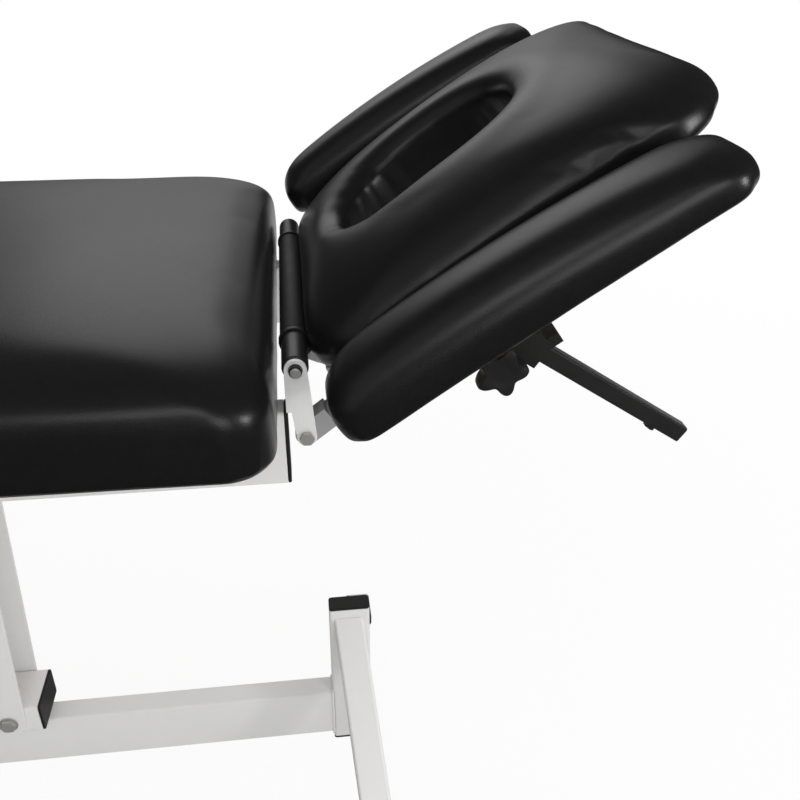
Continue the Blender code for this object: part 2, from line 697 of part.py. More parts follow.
# Armrests: cushion, board and guide bar slide together; the clamps stay on the head frame.
bar_turn = math.radians(BAR_ANGLE)
bar_down = Vector((math.cos(bar_turn), 0.0, -math.sin(bar_turn)))
bar_back = Vector((-math.sin(bar_turn), 0.0, -math.cos(bar_turn)))
arm_half_u = ARM_PAD_LENGTH / 2
arm_half_v = ARM_PAD_WIDTH / 2
arm_v = pad_half_v + ARM_PAD_GAP + arm_half_v
arm_centre = ARM_PAD_START + arm_half_u
bar_v = BAR_SPACING / 2
bar_half = BAR_SIDE / 2
bar_head = ARM_PAD_BOTTOM - FACE_GAP
arm_shape = {"height": ARM_PAD_HEIGHT, "power": ARM_EDGE_POWER, "arch": ARM_ARCH, "taper": ARM_TAPER,
             "rings": 8}
clamp_inner = bar_half + CLAMP_SLIDE_GAP
clamp_outer = clamp_inner + CLAMP_WALL
knob_face = EAR_THICKNESS + CLAMP_SLIT / 2
for word, side, raised in (("near", -1, 0.0), ("far", 1, FAR_ARM_RAISE)):
    place = Matrix.Translation(-bar_down * raised)
    group = add_empty(word + "_armrest_axis", place, head)
    v = side * arm_v
    body = bmesh.new()
    add_cushion(body, arm_half_u, arm_half_v, ARM_PAD_CORNER, arm_shape, ARM_BOARD_MARGIN, (2, 7))
    bmesh.ops.translate(body, vec=(arm_centre, v, ARM_PAD_BOTTOM), verts=body.verts)
    add_object(word + "_armrest_cushion", body, "leatherette", group, smooth=True)
    body = bmesh.new()
    outline = cushion_outline(arm_half_u, arm_half_v, ARM_PAD_CORNER, ARM_BOARD_MARGIN, (2, 7))
    add_plate(body, outline, [], 0.0, BOARD_THICKNESS,
              lambda x, y, z, v=v: (x + arm_centre, y + v, z + ARM_PAD_BOTTOM))
    add_object(word + "_armrest_board", body, "plywood", group)

    bar_start = Vector((BAR_TOP_U, side * bar_v, bar_head - BAR_PLATE / 2))
    bar_end = bar_start + bar_down * BAR_LENGTH
    body = bmesh.new()
    flange = (BAR_PLATE_LENGTH / 2, BAR_PLATE_WIDTH / 2)
    add_box(body, (BAR_TOP_U - flange[0], side * bar_v - flange[1], bar_head - BAR_PLATE),
            (BAR_TOP_U + flange[0], side * bar_v + flange[1], bar_head), 0.004)
    made = add_object(word + "_armrest_bar", body, "black_paint", group)
    rod = bmesh.new()
    rings = []
    for centre, normal in ((bar_start, Vector((0, 0, 1))), (bar_end, bar_down)):
        points = []
        for a, b in rounded_outline(bar_half, bar_half, 0.002, 2):
            spot = centre + Vector((0.0, a, 0.0)) + bar_back * b
            points.append(spot + bar_down * ((centre - spot).dot(normal) / bar_down.dot(normal)))
        rings.append(points)
    add_rings(rod, rings)
    combine(made, rod, "UNION")
    stop = bmesh.new()
    stop_spot = bar_end - bar_down * STOP_SCREW_INSET + bar_back * bar_half
    add_bolt(stop, stop_spot, -bar_back, 0.004, 0.003, nut=False)
    combine(made, stop, "UNION")

    arm_start = side * tube_inner
    arm_reach = side * (bar_v + clamp_outer - 0.001)
    low_w = -CLAMP_ARM_DROP - CLAMP_ARM_THICKNESS
    profile = [(arm_start, tube_bottom - FACE_GAP), (side * tube_outer, tube_bottom - FACE_GAP),
               (side * tube_outer, -CLAMP_ARM_DROP), (arm_reach, -CLAMP_ARM_DROP),
               (arm_reach, low_w), (arm_start, low_w)]
    body = bmesh.new()
    add_plate(body, profile, [], CLAMP_ARM_START, CLAMP_ARM_START + CLAMP_ARM_LENGTH,
              lambda y, z, x: (x, y, z))
    made = add_object(word + "_armrest_clamp", body, "black_paint", head)
    sleeve_top = bar_start + bar_down * CLAMP_TOP
    sleeve = bmesh.new()
    rings = []
    for distance in (0.0, CLAMP_LENGTH):
        ring = []
        for a, b in ((1, 1), (-1, 1), (-1, -1), (1, -1)):
            spot = sleeve_top + bar_down * distance + Vector((0, clamp_outer * a, 0))
            ring.append(spot + bar_back * clamp_outer * b)
        rings.append(ring)
    add_rings(sleeve, rings)
    combine(made, sleeve, "UNION")
    ear_mid = sleeve_top + bar_down * (STUD_ALONG - EAR_LENGTH / 2)
    ear = bmesh.new()
    rings = []
    for distance in (0.0, EAR_LENGTH):
        ring = []
        for a, b in ((knob_face, EAR_REACH), (-knob_face, EAR_REACH),
                     (-knob_face, clamp_outer - 0.002), (knob_face, clamp_outer - 0.002)):
            ring.append(ear_mid + bar_down * distance + Vector((0, a, 0)) + bar_back * b)
        rings.append(ring)
    add_rings(ear, rings)
    combine(made, ear, "UNION")
    channel = bmesh.new()
    rings = []
    for distance in (-0.02, CLAMP_LENGTH + 0.03):
        ring = []
        for a, b in ((1, 1), (-1, 1), (-1, -1), (1, -1)):
            spot = sleeve_top + bar_down * distance + Vector((0, clamp_inner * a, 0))
            ring.append(spot + bar_back * clamp_inner * b)
        rings.append(ring)
    add_rings(channel, rings)
    combine(made, channel, "DIFFERENCE")
    slit = bmesh.new()
    rings = []
    for distance in (-0.02, CLAMP_LENGTH + 0.03):
        ring = []
        for a, b in ((0.5, EAR_REACH + 0.004), (-0.5, EAR_REACH + 0.004),
                     (-0.5, clamp_inner - 0.002), (0.5, clamp_inner - 0.002)):
            spot = sleeve_top + bar_down * distance + Vector((0, CLAMP_SLIT * a, 0))
            ring.append(spot + bar_back * b)
        rings.append(ring)
    add_rings(slit, rings)
    combine(made, slit, "DIFFERENCE")
    stud_spot = sleeve_top + bar_down * STUD_ALONG + bar_back * STUD_REACH
    drill = bmesh.new()
    stud_hole = STUD_RADIUS + TURN_GAP
    add_turned(drill, [(stud_hole, -0.02), (stud_hole, 0.02)], stud_spot, (0, 1, 0), steps=16)
    combine(made, drill, "DIFFERENCE")

    knob_group = add_empty(word + "_knob_axis", Matrix.Translation(stud_spot), head)
    body = bmesh.new()
    outward = side
    near_hub = knob_face + FACE_GAP
    rows = [("stud", -knob_face), ("stud", near_hub), ("hub", near_hub), ("hub", near_hub + KNOB_HUB)]
    rows += [("low", near_hub + KNOB_HUB), ("lobe", near_hub + KNOB_HUB + 0.003)]
    rows += [("lobe", near_hub + KNOB_THICKNESS - 0.004), ("low", near_hub + KNOB_THICKNESS)]
    rings = []
    for kind, distance in rows:
        ring = []
        for step in range(40):
            angle = 2 * math.pi * step / 40
            wave = 0.5 + 0.5 * math.cos(5 * angle)
            lobe = KNOB_RADIUS * (0.74 + 0.26 * wave ** 0.6)
            reach = {"stud": STUD_RADIUS, "hub": 0.009, "low": lobe - 0.0035, "lobe": lobe}[kind]
            ring.append((reach * math.cos(angle), outward * distance, reach * math.sin(angle)))
        rings.append(ring)
    add_rings(body, rings)
    add_object(word + "_star_knob", body, "black_plastic", knob_group, smooth=False)

# Gas spring of the head section, on the near side: its barrel turns on the bracket's bolt.
tilt = math.radians(HEAD_TILT)
spring_end = Vector((HINGE_X + SPRING_END_U * math.cos(tilt) - SPRING_END_W * math.sin(tilt), 0.0,
                     hinge_height + SPRING_END_U * math.sin(tilt) + SPRING_END_W * math.cos(tilt)))
spring_start = Vector((spring_pin[0], 0.0, spring_pin[1]))
spring_span = (spring_end - spring_start).length
spring_angle = math.atan2(spring_end.z - spring_start.z, spring_end.x - spring_start.x)
spring_place = Matrix.Translation((spring_pin[0], -spring_y, spring_pin[1]))
spring_axis = add_empty("gas_spring_axis", spring_place @ Matrix.Rotation(-spring_angle, 4, "Y"), top)
body = bmesh.new()
fitting = [(0.030, -SPRING_RADIUS), (0.030, SPRING_RADIUS)]
fitting += [(x, y) for x, y in circle(SPRING_RADIUS) if x <= 1e-6]
add_plate(body, fitting, [circle(SPRING_BOLT_RADIUS + TURN_GAP, steps=12)],
          -SPRING_RADIUS, SPRING_RADIUS, upright)
made = add_object("gas_spring_barrel", body, "spring_grey", spring_axis)
barrel = bmesh.new()
spring_mouth = 0.022 + SPRING_BARREL_LENGTH
bore = SPRING_ROD_RADIUS + TURN_GAP
barrel_outside = SPRING_RADIUS - 0.0006
add_turned(barrel, [(barrel_outside, 0.022), (barrel_outside, spring_mouth), (bore, spring_mouth),
                    (bore, spring_mouth - SPRING_BORE_DEPTH)], (0, 0, 0), (1, 0, 0))
combine(made, barrel, "UNION")
body = bmesh.new()
eye_outline = circle(0.010, (spring_span, 0.0))
eye_hole = circle(SPRING_BOLT_RADIUS + TURN_GAP, (spring_span, 0.0), 12)
add_plate(body, eye_outline, [eye_hole], -SPRING_EYE / 2, SPRING_EYE / 2, upright)
made = add_object("gas_spring_rod", body, "zinc_steel", spring_axis)
rod = bmesh.new()
rod_tail = spring_mouth - 0.030
add_turned(rod, [(SPRING_ROD_RADIUS, rod_tail), (SPRING_ROD_RADIUS, spring_span - 0.0075)],
           (0, 0, 0), (1, 0, 0))
combine(made, rod, "UNION")
lug = bmesh.new()
lug_half = SPRING_LUG_LENGTH / 2
add_box(lug, (SPRING_END_U - lug_half, -tube_outer - SPRING_LUG, SPRING_END_W - SPRING_LUG_DROP),
        (SPRING_END_U + lug_half, TUBE_WALL / 2 - tube_outer, SPRING_END_W + SPRING_LUG_DROP))
combine(head_tubes["near"], lug, "UNION")

# Base: tube, posts, legs and feet.
tube_mid = BASE_TUBE_TOP - BASE_TUBE_HEIGHT / 2
foot_post_right = FOOT_POST_X
body = bmesh.new()
add_tube(body, (foot_post_right + FACE_GAP, 0.0, tube_mid), (POST_X - FACE_GAP, 0.0, tube_mid), (0, 1, 0),
         BASE_TUBE_WIDTH / 2, BASE_TUBE_HEIGHT / 2)
add_object("base_tube", body, "frame_paint", assembly)
post_half = POST_LENGTH / 2
for word, facing, post_mid in (("head", 1, POST_X + post_half), ("foot", -1, FOOT_POST_X - post_half)):
    body = bmesh.new()
    add_tube(body, (post_mid, 0.0, POST_BOTTOM), (post_mid, 0.0, POST_TOP), (1, 0, 0),
             post_half, POST_WIDTH / 2)
    add_object(word + "_post", body, "frame_paint", assembly)
    body = bmesh.new()
    add_cap(body, (post_mid, 0.0, POST_TOP), (0, 0, 1), (1, 0, 0), post_half, POST_WIDTH / 2)
    add_object(word + "_post_cap", body, "black_plastic", assembly)
    for name, side in (("near", -1), ("far", 1)):
        leg_top = Vector((post_mid, side * (POST_WIDTH / 2 + FACE_GAP), LEG_HEIGHT))
        leg_end = Vector((post_mid + facing * LEG_SPLAY, side * LEG_REACH, FOOT_HEIGHT + FACE_GAP))
        body = bmesh.new()
        add_tube(body, leg_top, leg_end, (1, 0, 0), LEG_SIDE / 2, LEG_SIDE / 2, (0, 1, 0), (0, 0, 1))
        add_object(word + "_leg_" + name, body, "frame_paint", assembly)
        fall = leg_end - leg_top
        foot_x = LEG_SIDE / 2 + FOOT_MARGIN
        foot_y = LEG_SIDE / 2 * fall.length / abs(fall.z) + FOOT_MARGIN
        rings = []
        for inset, height in ((0.003, 0.0), (0.0, 0.004), (0.0, FOOT_HEIGHT - 0.002), (0.002, FOOT_HEIGHT)):
            ring = []
            for x, y in rounded_outline(foot_x - inset, foot_y - inset, 0.006 - inset):
                ring.append((leg_end.x + x, leg_end.y + y, height))
            rings.append(ring)
        body = bmesh.new()
        add_rings(body, rings)
        add_object("rubber_foot_" + word + "_" + name, body, "rubber", assembly)

# Pivot blocks, lift arms and their bolts.
block_bottom = BASE_TUBE_TOP + FACE_GAP
block_half = (BLOCK_TOP - block_bottom) / 2
block_mid = block_bottom + block_half
block_overhang = HEAD_BLOCK_END - HEAD_PIVOT_X
for word, pivot_x in (("head", HEAD_PIVOT_X), ("foot", FOOT_PIVOT_X)):
    block_end = pivot_x + block_overhang
    block_start = block_end - BLOCK_LENGTH
    body = bmesh.new()
    add_tube(body, (block_start, 0.0, block_mid), (block_end, 0.0, block_mid), (0, 1, 0),
             BLOCK_WIDTH / 2, block_half)
    made = add_object(word + "_pivot_block", body, "frame_paint", assembly)
    drill = bmesh.new()
    add_turned(drill, [(bolt_hole, -BLOCK_WIDTH), (bolt_hole, BLOCK_WIDTH)],
               (pivot_x, 0.0, PIVOT_HEIGHT), (0, 1, 0), steps=16)
    combine(made, drill, "DIFFERENCE")
    body = bmesh.new()
    add_cap(body, (block_end, 0.0, block_mid), (1, 0, 0), (0, 1, 0), BLOCK_WIDTH / 2, block_half)
    add_object(word + "_block_cap", body, "black_plastic", assembly)
    body = bmesh.new()
    add_bolt(body, (pivot_x, -arm_outer - FACE_GAP, PIVOT_HEIGHT), (0, 1, 0), 2 * (arm_outer + FACE_GAP),
             ARM_BOLT_RADIUS)
    add_object(word + "_arm_base_bolt", body, "zinc_steel", assembly)

high_spacer = lift_reach - HIGH_SPACER_DROP
for word, axis, spacers in (("head", head_arm_axis, (high_spacer,)),
                            ("foot", foot_arm_axis, (LUG_ALONG, high_spacer))):
    outline = link_outline((0.0, 0.0), ARM_WIDTH / 2, (0.0, lift_reach), ARM_WIDTH / 2)
    holes = [circle(bolt_hole, (0.0, 0.0), 16), circle(bolt_hole, (0.0, lift_reach), 16)]
    body = bmesh.new()
    for side in (-1, 1):
        add_plate(body, outline, holes, side * arm_inner, side * arm_outer, upright)
    made = add_object(word + "_lift_arm", body, "frame_paint", axis)
    for along in spacers:
        spacer = bmesh.new()
        spacer_half = arm_inner + 0.001
        add_turned(spacer, [(SPACER_RADIUS, -spacer_half), (SPACER_RADIUS, spacer_half)],
                   (0.0, 0.0, along), (0, 1, 0))
        combine(made, spacer, "UNION")
    if word == "foot":
        lug = bmesh.new()
        outline = link_outline((0.0, LUG_ALONG), SPACER_RADIUS - 0.002, (LUG_OFFSET, LUG_ALONG), 0.014)
        add_plate(lug, outline, [], LUG_SIDE - LUG_THICKNESS / 2, LUG_SIDE + LUG_THICKNESS / 2, upright)
        combine(made, lug, "UNION")

# Lifting actuator: its barrel turns on a bracket on the base tube, its rod reaches the foot arm's lug.
actuator_base = Vector((ACTUATOR_X, 0.0, ACTUATOR_HEIGHT))
lean = math.radians(ARM_LEAN)
lug_point = Vector((FOOT_PIVOT_X + LUG_OFFSET * math.cos(lean) + LUG_ALONG * math.sin(lean), 0.0,
                    PIVOT_HEIGHT + LUG_ALONG * math.cos(lean) - LUG_OFFSET * math.sin(lean)))
actuator_span = (lug_point - actuator_base).length
actuator_angle = math.atan2(lug_point.z - actuator_base.z, lug_point.x - actuator_base.x)
lug_back = LUG_SIDE - LUG_THICKNESS / 2
lug_face = LUG_SIDE + LUG_THICKNESS / 2
actuator_y = lug_face + FACE_GAP + ACTUATOR_ROD_RADIUS
eye_low = -ACTUATOR_ROD_RADIUS
eye_high = eye_low + ACTUATOR_EYE
actuator_place = Matrix.Translation((ACTUATOR_X, actuator_y, ACTUATOR_HEIGHT))
actuator_turn = Matrix.Rotation(-actuator_angle, 4, "Y")
actuator_axis = add_empty("actuator_axis", actuator_place @ actuator_turn, assembly)
body = bmesh.new()
bracket_floor = BASE_TUBE_TOP + FACE_GAP
outline = link_outline((ACTUATOR_X, bracket_floor + 0.012), 0.018, (ACTUATOR_X, ACTUATOR_HEIGHT), 0.014)
add_plate(body, outline, [circle(SPRING_BOLT_RADIUS + TURN_GAP, (ACTUATOR_X, ACTUATOR_HEIGHT), 12)],
          lug_back, lug_face, upright)
made = add_object("actuator_bracket", body, "frame_paint", assembly)
floor = bmesh.new()
add_box(floor, (ACTUATOR_X - 0.03, -BASE_TUBE_WIDTH / 2, bracket_floor),
        (ACTUATOR_X + 0.03, BASE_TUBE_WIDTH / 2, bracket_floor + 0.004))
combine(made, floor, "UNION")
under = bmesh.new()
add_box(under, (ACTUATOR_X - 0.05, -0.05, bracket_floor - 0.03), (ACTUATOR_X + 0.05, 0.05, bracket_floor))
combine(made, under, "DIFFERENCE")
body = bmesh.new()
add_bolt(body, (ACTUATOR_X, lug_back, ACTUATOR_HEIGHT), (0, 1, 0),
         LUG_THICKNESS + FACE_GAP + ACTUATOR_EYE, SPRING_BOLT_RADIUS)
add_object("actuator_bolt", body, "zinc_steel", assembly)

body = bmesh.new()
eye_outline = [(0.046, -0.014), (0.046, 0.014)] + [(x, y) for x, y in circle(0.014) if x <= 1e-6]
add_plate(body, eye_outline, [circle(SPRING_BOLT_RADIUS + TURN_GAP, steps=12)],
          eye_low, eye_high, upright)
made = add_object("actuator_barrel", body, "housing_grey", actuator_axis)
barrel = bmesh.new()
bore = ACTUATOR_ROD_RADIUS + TURN_GAP
add_turned(barrel, [(ACTUATOR_RADIUS, ACTUATOR_START), (ACTUATOR_RADIUS, ACTUATOR_END), (bore, ACTUATOR_END),
                    (bore, ACTUATOR_BORE_FLOOR)], (0, 0, 0), (1, 0, 0))
combine(made, barrel, "UNION")
motor = bmesh.new()
motor_low = ACTUATOR_RADIUS - 0.006
add_box(motor, (ACTUATOR_START + 0.004, -MOTOR_WIDTH / 2, -motor_low - MOTOR_HEIGHT),
        (ACTUATOR_START + 0.004 + MOTOR_LENGTH, MOTOR_WIDTH / 2, -motor_low), 0.006)
combine(made, motor, "UNION")
body = bmesh.new()
add_plate(body, circle(0.014, (actuator_span, 0.0)), [circle(0.006, (actuator_span, 0.0), 12)],
          eye_low, eye_high, upright)
made = add_object("actuator_rod", body, "zinc_steel", actuator_axis)
rod = bmesh.new()
add_turned(rod, [(ACTUATOR_ROD_RADIUS, ACTUATOR_ROD_TAIL), (ACTUATOR_ROD_RADIUS, actuator_span - 0.010)],
           (0, 0, 0), (1, 0, 0))
combine(made, rod, "UNION")

# Control box with its mains inlet, on the base tube behind the foot arm.
box_floor = BASE_TUBE_TOP + FACE_GAP
box_half = BOX_WIDTH / 2
rings = []
body = bmesh.new()
for inset, height in ((0.002, 0.0), (0.0, 0.002), (0.0, BOX_HEIGHT - 0.004), (0.004, BOX_HEIGHT)):
    ring = []
    for x, y in rounded_outline(BOX_LENGTH / 2 - inset, box_half - inset, 0.008):
        ring.append((BOX_X + BOX_LENGTH / 2 + x, y, box_floor + height))
    rings.append(ring)
add_rings(body, rings)
add_object("control_box", body, "housing_grey", assembly)
body = bmesh.new()
inlet_x = BOX_X + BOX_LENGTH / 2
inlet_z = box_floor + BOX_HEIGHT / 2
rings = []
for inset, distance in ((0.0, FACE_GAP), (0.0, INLET_DEPTH), (0.004, INLET_DEPTH), (0.005, 0.003)):
    ring = []
    for x, z in rounded_outline(INLET_LENGTH / 2 - inset, INLET_HEIGHT / 2 - inset, 0.006 - inset):
        ring.append((inlet_x + x, box_half + distance, inlet_z + z))
    rings.append(ring)
add_rings(body, rings)
add_object("mains_inlet", body, "black_plastic", assembly)

# Centre the table over the origin.
bpy.context.view_layer.update()
reach = []
for item in bpy.data.objects:
    if item.type == "MESH" and not item.hide_render:
        reach += [(item.matrix_world @ vertex.co).x for vertex in item.data.vertices]
assembly.location.x = -(min(reach) + max(reach)) / 2
bpy.context.view_layer.update()
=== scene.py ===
# %% [markdown]
# An electric massage table: a long padded top and a tilting head section on a grey lift frame.
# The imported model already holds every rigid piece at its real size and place, so this lesson only
# dresses it: it gives each piece a finish, stuffs the cushions, and adds the small parts that catch
# the eye, such as plugs, weld beads and bolt heads. Loading comes first, because everything below
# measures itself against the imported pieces.

import json
import math

import bmesh
import bpy
import numpy as np
from mathutils import Matrix, Vector


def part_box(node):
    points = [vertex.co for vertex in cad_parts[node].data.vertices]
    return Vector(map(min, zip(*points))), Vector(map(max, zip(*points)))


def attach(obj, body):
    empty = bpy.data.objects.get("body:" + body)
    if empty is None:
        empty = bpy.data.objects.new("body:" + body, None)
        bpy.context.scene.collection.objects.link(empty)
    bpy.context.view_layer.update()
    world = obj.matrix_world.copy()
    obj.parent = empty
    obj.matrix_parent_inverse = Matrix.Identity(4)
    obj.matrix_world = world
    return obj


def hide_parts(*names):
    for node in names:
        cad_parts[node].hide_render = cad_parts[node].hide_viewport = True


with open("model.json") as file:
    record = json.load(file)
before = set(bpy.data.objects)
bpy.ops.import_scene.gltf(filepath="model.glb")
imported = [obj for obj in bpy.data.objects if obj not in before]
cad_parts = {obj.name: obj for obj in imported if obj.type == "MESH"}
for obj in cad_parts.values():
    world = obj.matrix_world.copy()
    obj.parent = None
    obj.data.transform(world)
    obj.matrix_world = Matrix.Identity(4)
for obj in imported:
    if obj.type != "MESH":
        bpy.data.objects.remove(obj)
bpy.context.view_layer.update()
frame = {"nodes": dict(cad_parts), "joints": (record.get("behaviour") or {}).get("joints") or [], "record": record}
scene = bpy.context.scene
HINGE = Vector(next(joint for joint in frame["joints"] if joint["name"] == "head_tilt")["pos_m"])


def placed(name, data):
    """A new object in the scene."""
    made = bpy.data.objects.new(name, data)
    scene.collection.objects.link(made)
    return made


# %% [markdown]
# The camera stands beside the table, a little above the cushions, and looks down towards the hinge.
# A camera can be aimed with a constraint, but a plain matrix is easier to check: its columns are the
# directions to the right, up and backwards, and its last column is the place.

# %% Camera
CAMERA_PLACE = Vector((0.53735, -0.8900, 1.1889))
CAMERA_AHEAD = Vector((0.11130, 0.85789, -0.50163))
CAMERA_RIGHT = Vector((0.99223, -0.12417, 0.00781))
CAMERA_LENS = 38.69

eye = bpy.data.cameras.new("portrait")
eye.lens = CAMERA_LENS
eye.sensor_width = 36.0
eye.clip_start = 0.05
camera = placed("portrait", eye)
camera_up = CAMERA_RIGHT.cross(CAMERA_AHEAD).normalized()
columns = Matrix((CAMERA_RIGHT, camera_up, -CAMERA_AHEAD)).transposed()
camera.matrix_world = Matrix.Translation(CAMERA_PLACE) @ columns.to_4x4()
scene.camera = camera
scene.view_settings.view_transform = "Standard"
print("camera looks", [round(v, 2) for v in CAMERA_AHEAD])

# %% [markdown]
# Shader nodes are easier to read as arithmetic. One small class wraps a socket: adding or multiplying
# two of them makes a Math node, and its node method makes any node from its type, its settings and the
# values of its sockets.

# %% Shader arithmetic
class Wire:
    """One socket of a shader; arithmetic on it adds Math nodes."""

    def __init__(self, tree, socket=None):
        self.tree = tree
        self.socket = socket

    def node(self, kind, settings=None, sockets=None, out=0):
        """A new node, its settings first and then its sockets; the answer is one of its outputs."""
        made = self.tree.nodes.new(kind)
        for name, value in (settings or {}).items():
            setattr(made, name, value)
        for name, value in (sockets or {}).items():
            if isinstance(value, Wire):
                self.tree.links.new(value.socket, made.inputs[name])
            else:
                made.inputs[name].default_value = value
        return Wire(self.tree, made.outputs[out])

    def maths(self, operation, first, second):
        return self.node("ShaderNodeMath", {"operation": operation}, {0: first, 1: second})

    def __add__(self, other):
        return self.maths("ADD", self, other)

    def __radd__(self, other):
        return self.maths("ADD", other, self)

    def __sub__(self, other):
        return self.maths("SUBTRACT", self, other)

    def __rsub__(self, other):
        return self.maths("SUBTRACT", other, self)

    def __mul__(self, other):
        return self.maths("MULTIPLY", self, other)

    def __rmul__(self, other):
        return self.maths("MULTIPLY", other, self)


def new_finish(name, colour, roughness, metallic=0.0, specular=0.5):
    """A material with its fixed numbers on the shader itself; the wire starts its node work."""
    material = bpy.data.materials.new(name)
    material.use_nodes = True
    shader = material.node_tree.nodes["Principled BSDF"]
    shader.inputs["Base Color"].default_value = (*colour, 1.0)
    shader.inputs["Roughness"].default_value = roughness
    shader.inputs["Metallic"].default_value = metallic
    shader.inputs["Specular IOR Level"].default_value = specular
    return material, shader, Wire(material.node_tree)


def surface_place(wire):
    """Where a point lies on its piece, in metres."""
    return wire.node("ShaderNodeTexCoord", out="Object")


def blotches(wire, place, scale, detail=3.0, roughness=0.5):
    """Soft noise from 0 to 1, with so many blotches to the metre."""
    sockets = {"Vector": place, "Scale": scale, "Detail": detail, "Roughness": roughness}
    return wire.node("ShaderNodeTexNoise", None, sockets)


def between(wire, share, first, second):
    """A colour part of the way from the first to the second."""
    sockets = {0: share, 6: (*first, 1.0), 7: (*second, 1.0)}
    return wire.node("ShaderNodeMix", {"data_type": "RGBA"}, sockets, out=2)


def vectors(wire, operation, first, second=(0.0, 0.0, 0.0), out="Vector"):
    """Arithmetic on two places or directions."""
    return wire.node("ShaderNodeVectorMath", {"operation": operation}, {0: first, 1: second}, out=out)


def feed(shader, name, wire):
    """Leads a wire into one socket of the shader."""
    wire.tree.links.new(wire.socket, shader.inputs[name])


def relief(shader, height, strength, depth):
    """Bumps the surface by a height from 0 to 1 over the given depth in metres."""
    sockets = {"Height": height, "Strength": strength, "Distance": depth}
    feed(shader, "Normal", height.node("ShaderNodeBump", None, sockets))


print("shader helpers ready")

# %% [markdown]
# The frame is steel tube with a light grey powder coat. Such a coat is not flat: it has a fine
# orange-peel ripple, slightly duller patches, and gathers grime near the floor. The ripple is a noise
# bump between one and two millimetres wide; the grime is a mask that fades with height.

# %% Powder coat
FRAME_GREY = (0.80, 0.80, 0.795)
GRIMY_GREY = (0.60, 0.59, 0.57)
GRIME_TOP = 0.16
PATCH_SCALE = 9.0
SPECK_SCALE = 160.0
PEEL_SCALE = 650.0
PEEL_DEPTH = 0.0003


def powder_coat():
    material, shader, wire = new_finish("powder_coat", FRAME_GREY, 0.42)
    place = surface_place(wire)
    height = wire.node("ShaderNodeSeparateXYZ", None, {0: place}, out="Z")
    low = wire.node("ShaderNodeMapRange", None, {0: height, 1: 0.0, 2: GRIME_TOP, 3: 0.55, 4: 0.0})
    patches = blotches(wire, place, PATCH_SCALE, 4.0, 0.6)
    specks = blotches(wire, place, SPECK_SCALE, 2.0)
    grime = low * patches + 0.22 * (patches - 0.35) + 0.06 * specks
    feed(shader, "Base Color", between(wire, grime, FRAME_GREY, GRIMY_GREY))
    feed(shader, "Roughness", 0.36 + 0.14 * patches)
    relief(shader, blotches(wire, place, PEEL_SCALE, 2.0), 0.10, PEEL_DEPTH)
    return material


# %% [markdown]
# The covers are black synthetic leather: a plastic skin with a pressed pebble grain a little over a
# millimetre wide and a soft sheen. A cell pattern makes the pebbles, a coarser noise the creases, and a
# slow noise varies the gloss where hands and oil have polished it. The colour stays almost black.

# %% Leatherette
LEATHER_BLACK = (0.0058, 0.0058, 0.0061)
LEATHER_WORN = (0.0115, 0.0112, 0.0108)
GRAIN_CELLS = 720.0
GRAIN_DEPTH = 0.0006
CREASE_SCALE = 120.0
HANDLED_SCALE = 5.0


def leatherette():
    material, shader, wire = new_finish("leatherette", LEATHER_BLACK, 0.36)
    place = surface_place(wire)
    cells = {"Vector": place, "Scale": GRAIN_CELLS, "Randomness": 0.9}
    pebbles = wire.node("ShaderNodeTexVoronoi", {"feature": "F1"}, cells)
    creases = blotches(wire, place, CREASE_SCALE, 3.0, 0.62)
    handled = blotches(wire, place, HANDLED_SCALE, 3.0)
    feed(shader, "Base Color", between(wire, handled * creases, LEATHER_BLACK, LEATHER_WORN))
    feed(shader, "Roughness", 0.24 + 0.10 * handled + 0.06 * creases)
    relief(shader, 0.6 * pebbles + 0.5 * creases, 0.14, GRAIN_DEPTH)
    return material


# %% [markdown]
# The rest are shop-bought parts with plain finishes: moulded black plastic, black enamel on the hinge
# shaft and armrest bars, bare plywood under the cushions, zinc plate on the bolts and rods, rubber on
# the feet, and two greys for the gas spring and the drive. One function makes the plain ones from a
# few numbers, because they differ only in colour, gloss and texture.

# %% Plain finishes
def plain_finish(name, colour, worn, roughness, texture, depth, metallic=0.0, specular=0.5):
    """A finish with slow changes of colour and gloss and a fine texture of its own scale."""
    material, shader, wire = new_finish(name, colour, roughness, metallic, specular)
    place = surface_place(wire)
    patches = blotches(wire, place, 24.0, 4.0, 0.6)
    grain = blotches(wire, place, texture, 2.0)
    feed(shader, "Base Color", between(wire, 0.7 * patches, colour, worn))
    feed(shader, "Roughness", (roughness - 0.07) + 0.16 * patches)
    relief(shader, grain, 0.25, depth)
    return material


PLY_PALE = (0.55, 0.40, 0.235)
PLY_DARK = (0.36, 0.235, 0.12)


def plywood():
    material, shader, wire = new_finish("plywood", PLY_PALE, 0.68)
    place = surface_place(wire)
    stretched = wire.node("ShaderNodeMapping", None, {"Vector": place, "Scale": (2.2, 46.0, 46.0)})
    fibres = blotches(wire, stretched, 4.0, 6.0, 0.65)
    figure = wire.node("ShaderNodeTexWave", {"bands_direction": "Y"}, {
        "Vector": wire.node("ShaderNodeMapping", None, {"Vector": place, "Scale": (0.5, 5.0, 5.0)}),
        "Scale": 2.2, "Distortion": 7.0, "Detail": 3.0}, out="Fac")
    feed(shader, "Base Color", between(wire, 0.55 * fibres + 0.35 * figure, PLY_PALE, PLY_DARK))
    feed(shader, "Roughness", 0.58 + 0.2 * fibres)
    relief(shader, fibres, 0.3, 0.0004)
    return material


RING_BLACK = (0.012, 0.012, 0.012, 1.0)
RING_START = 0.0185
RING_END = 0.0195


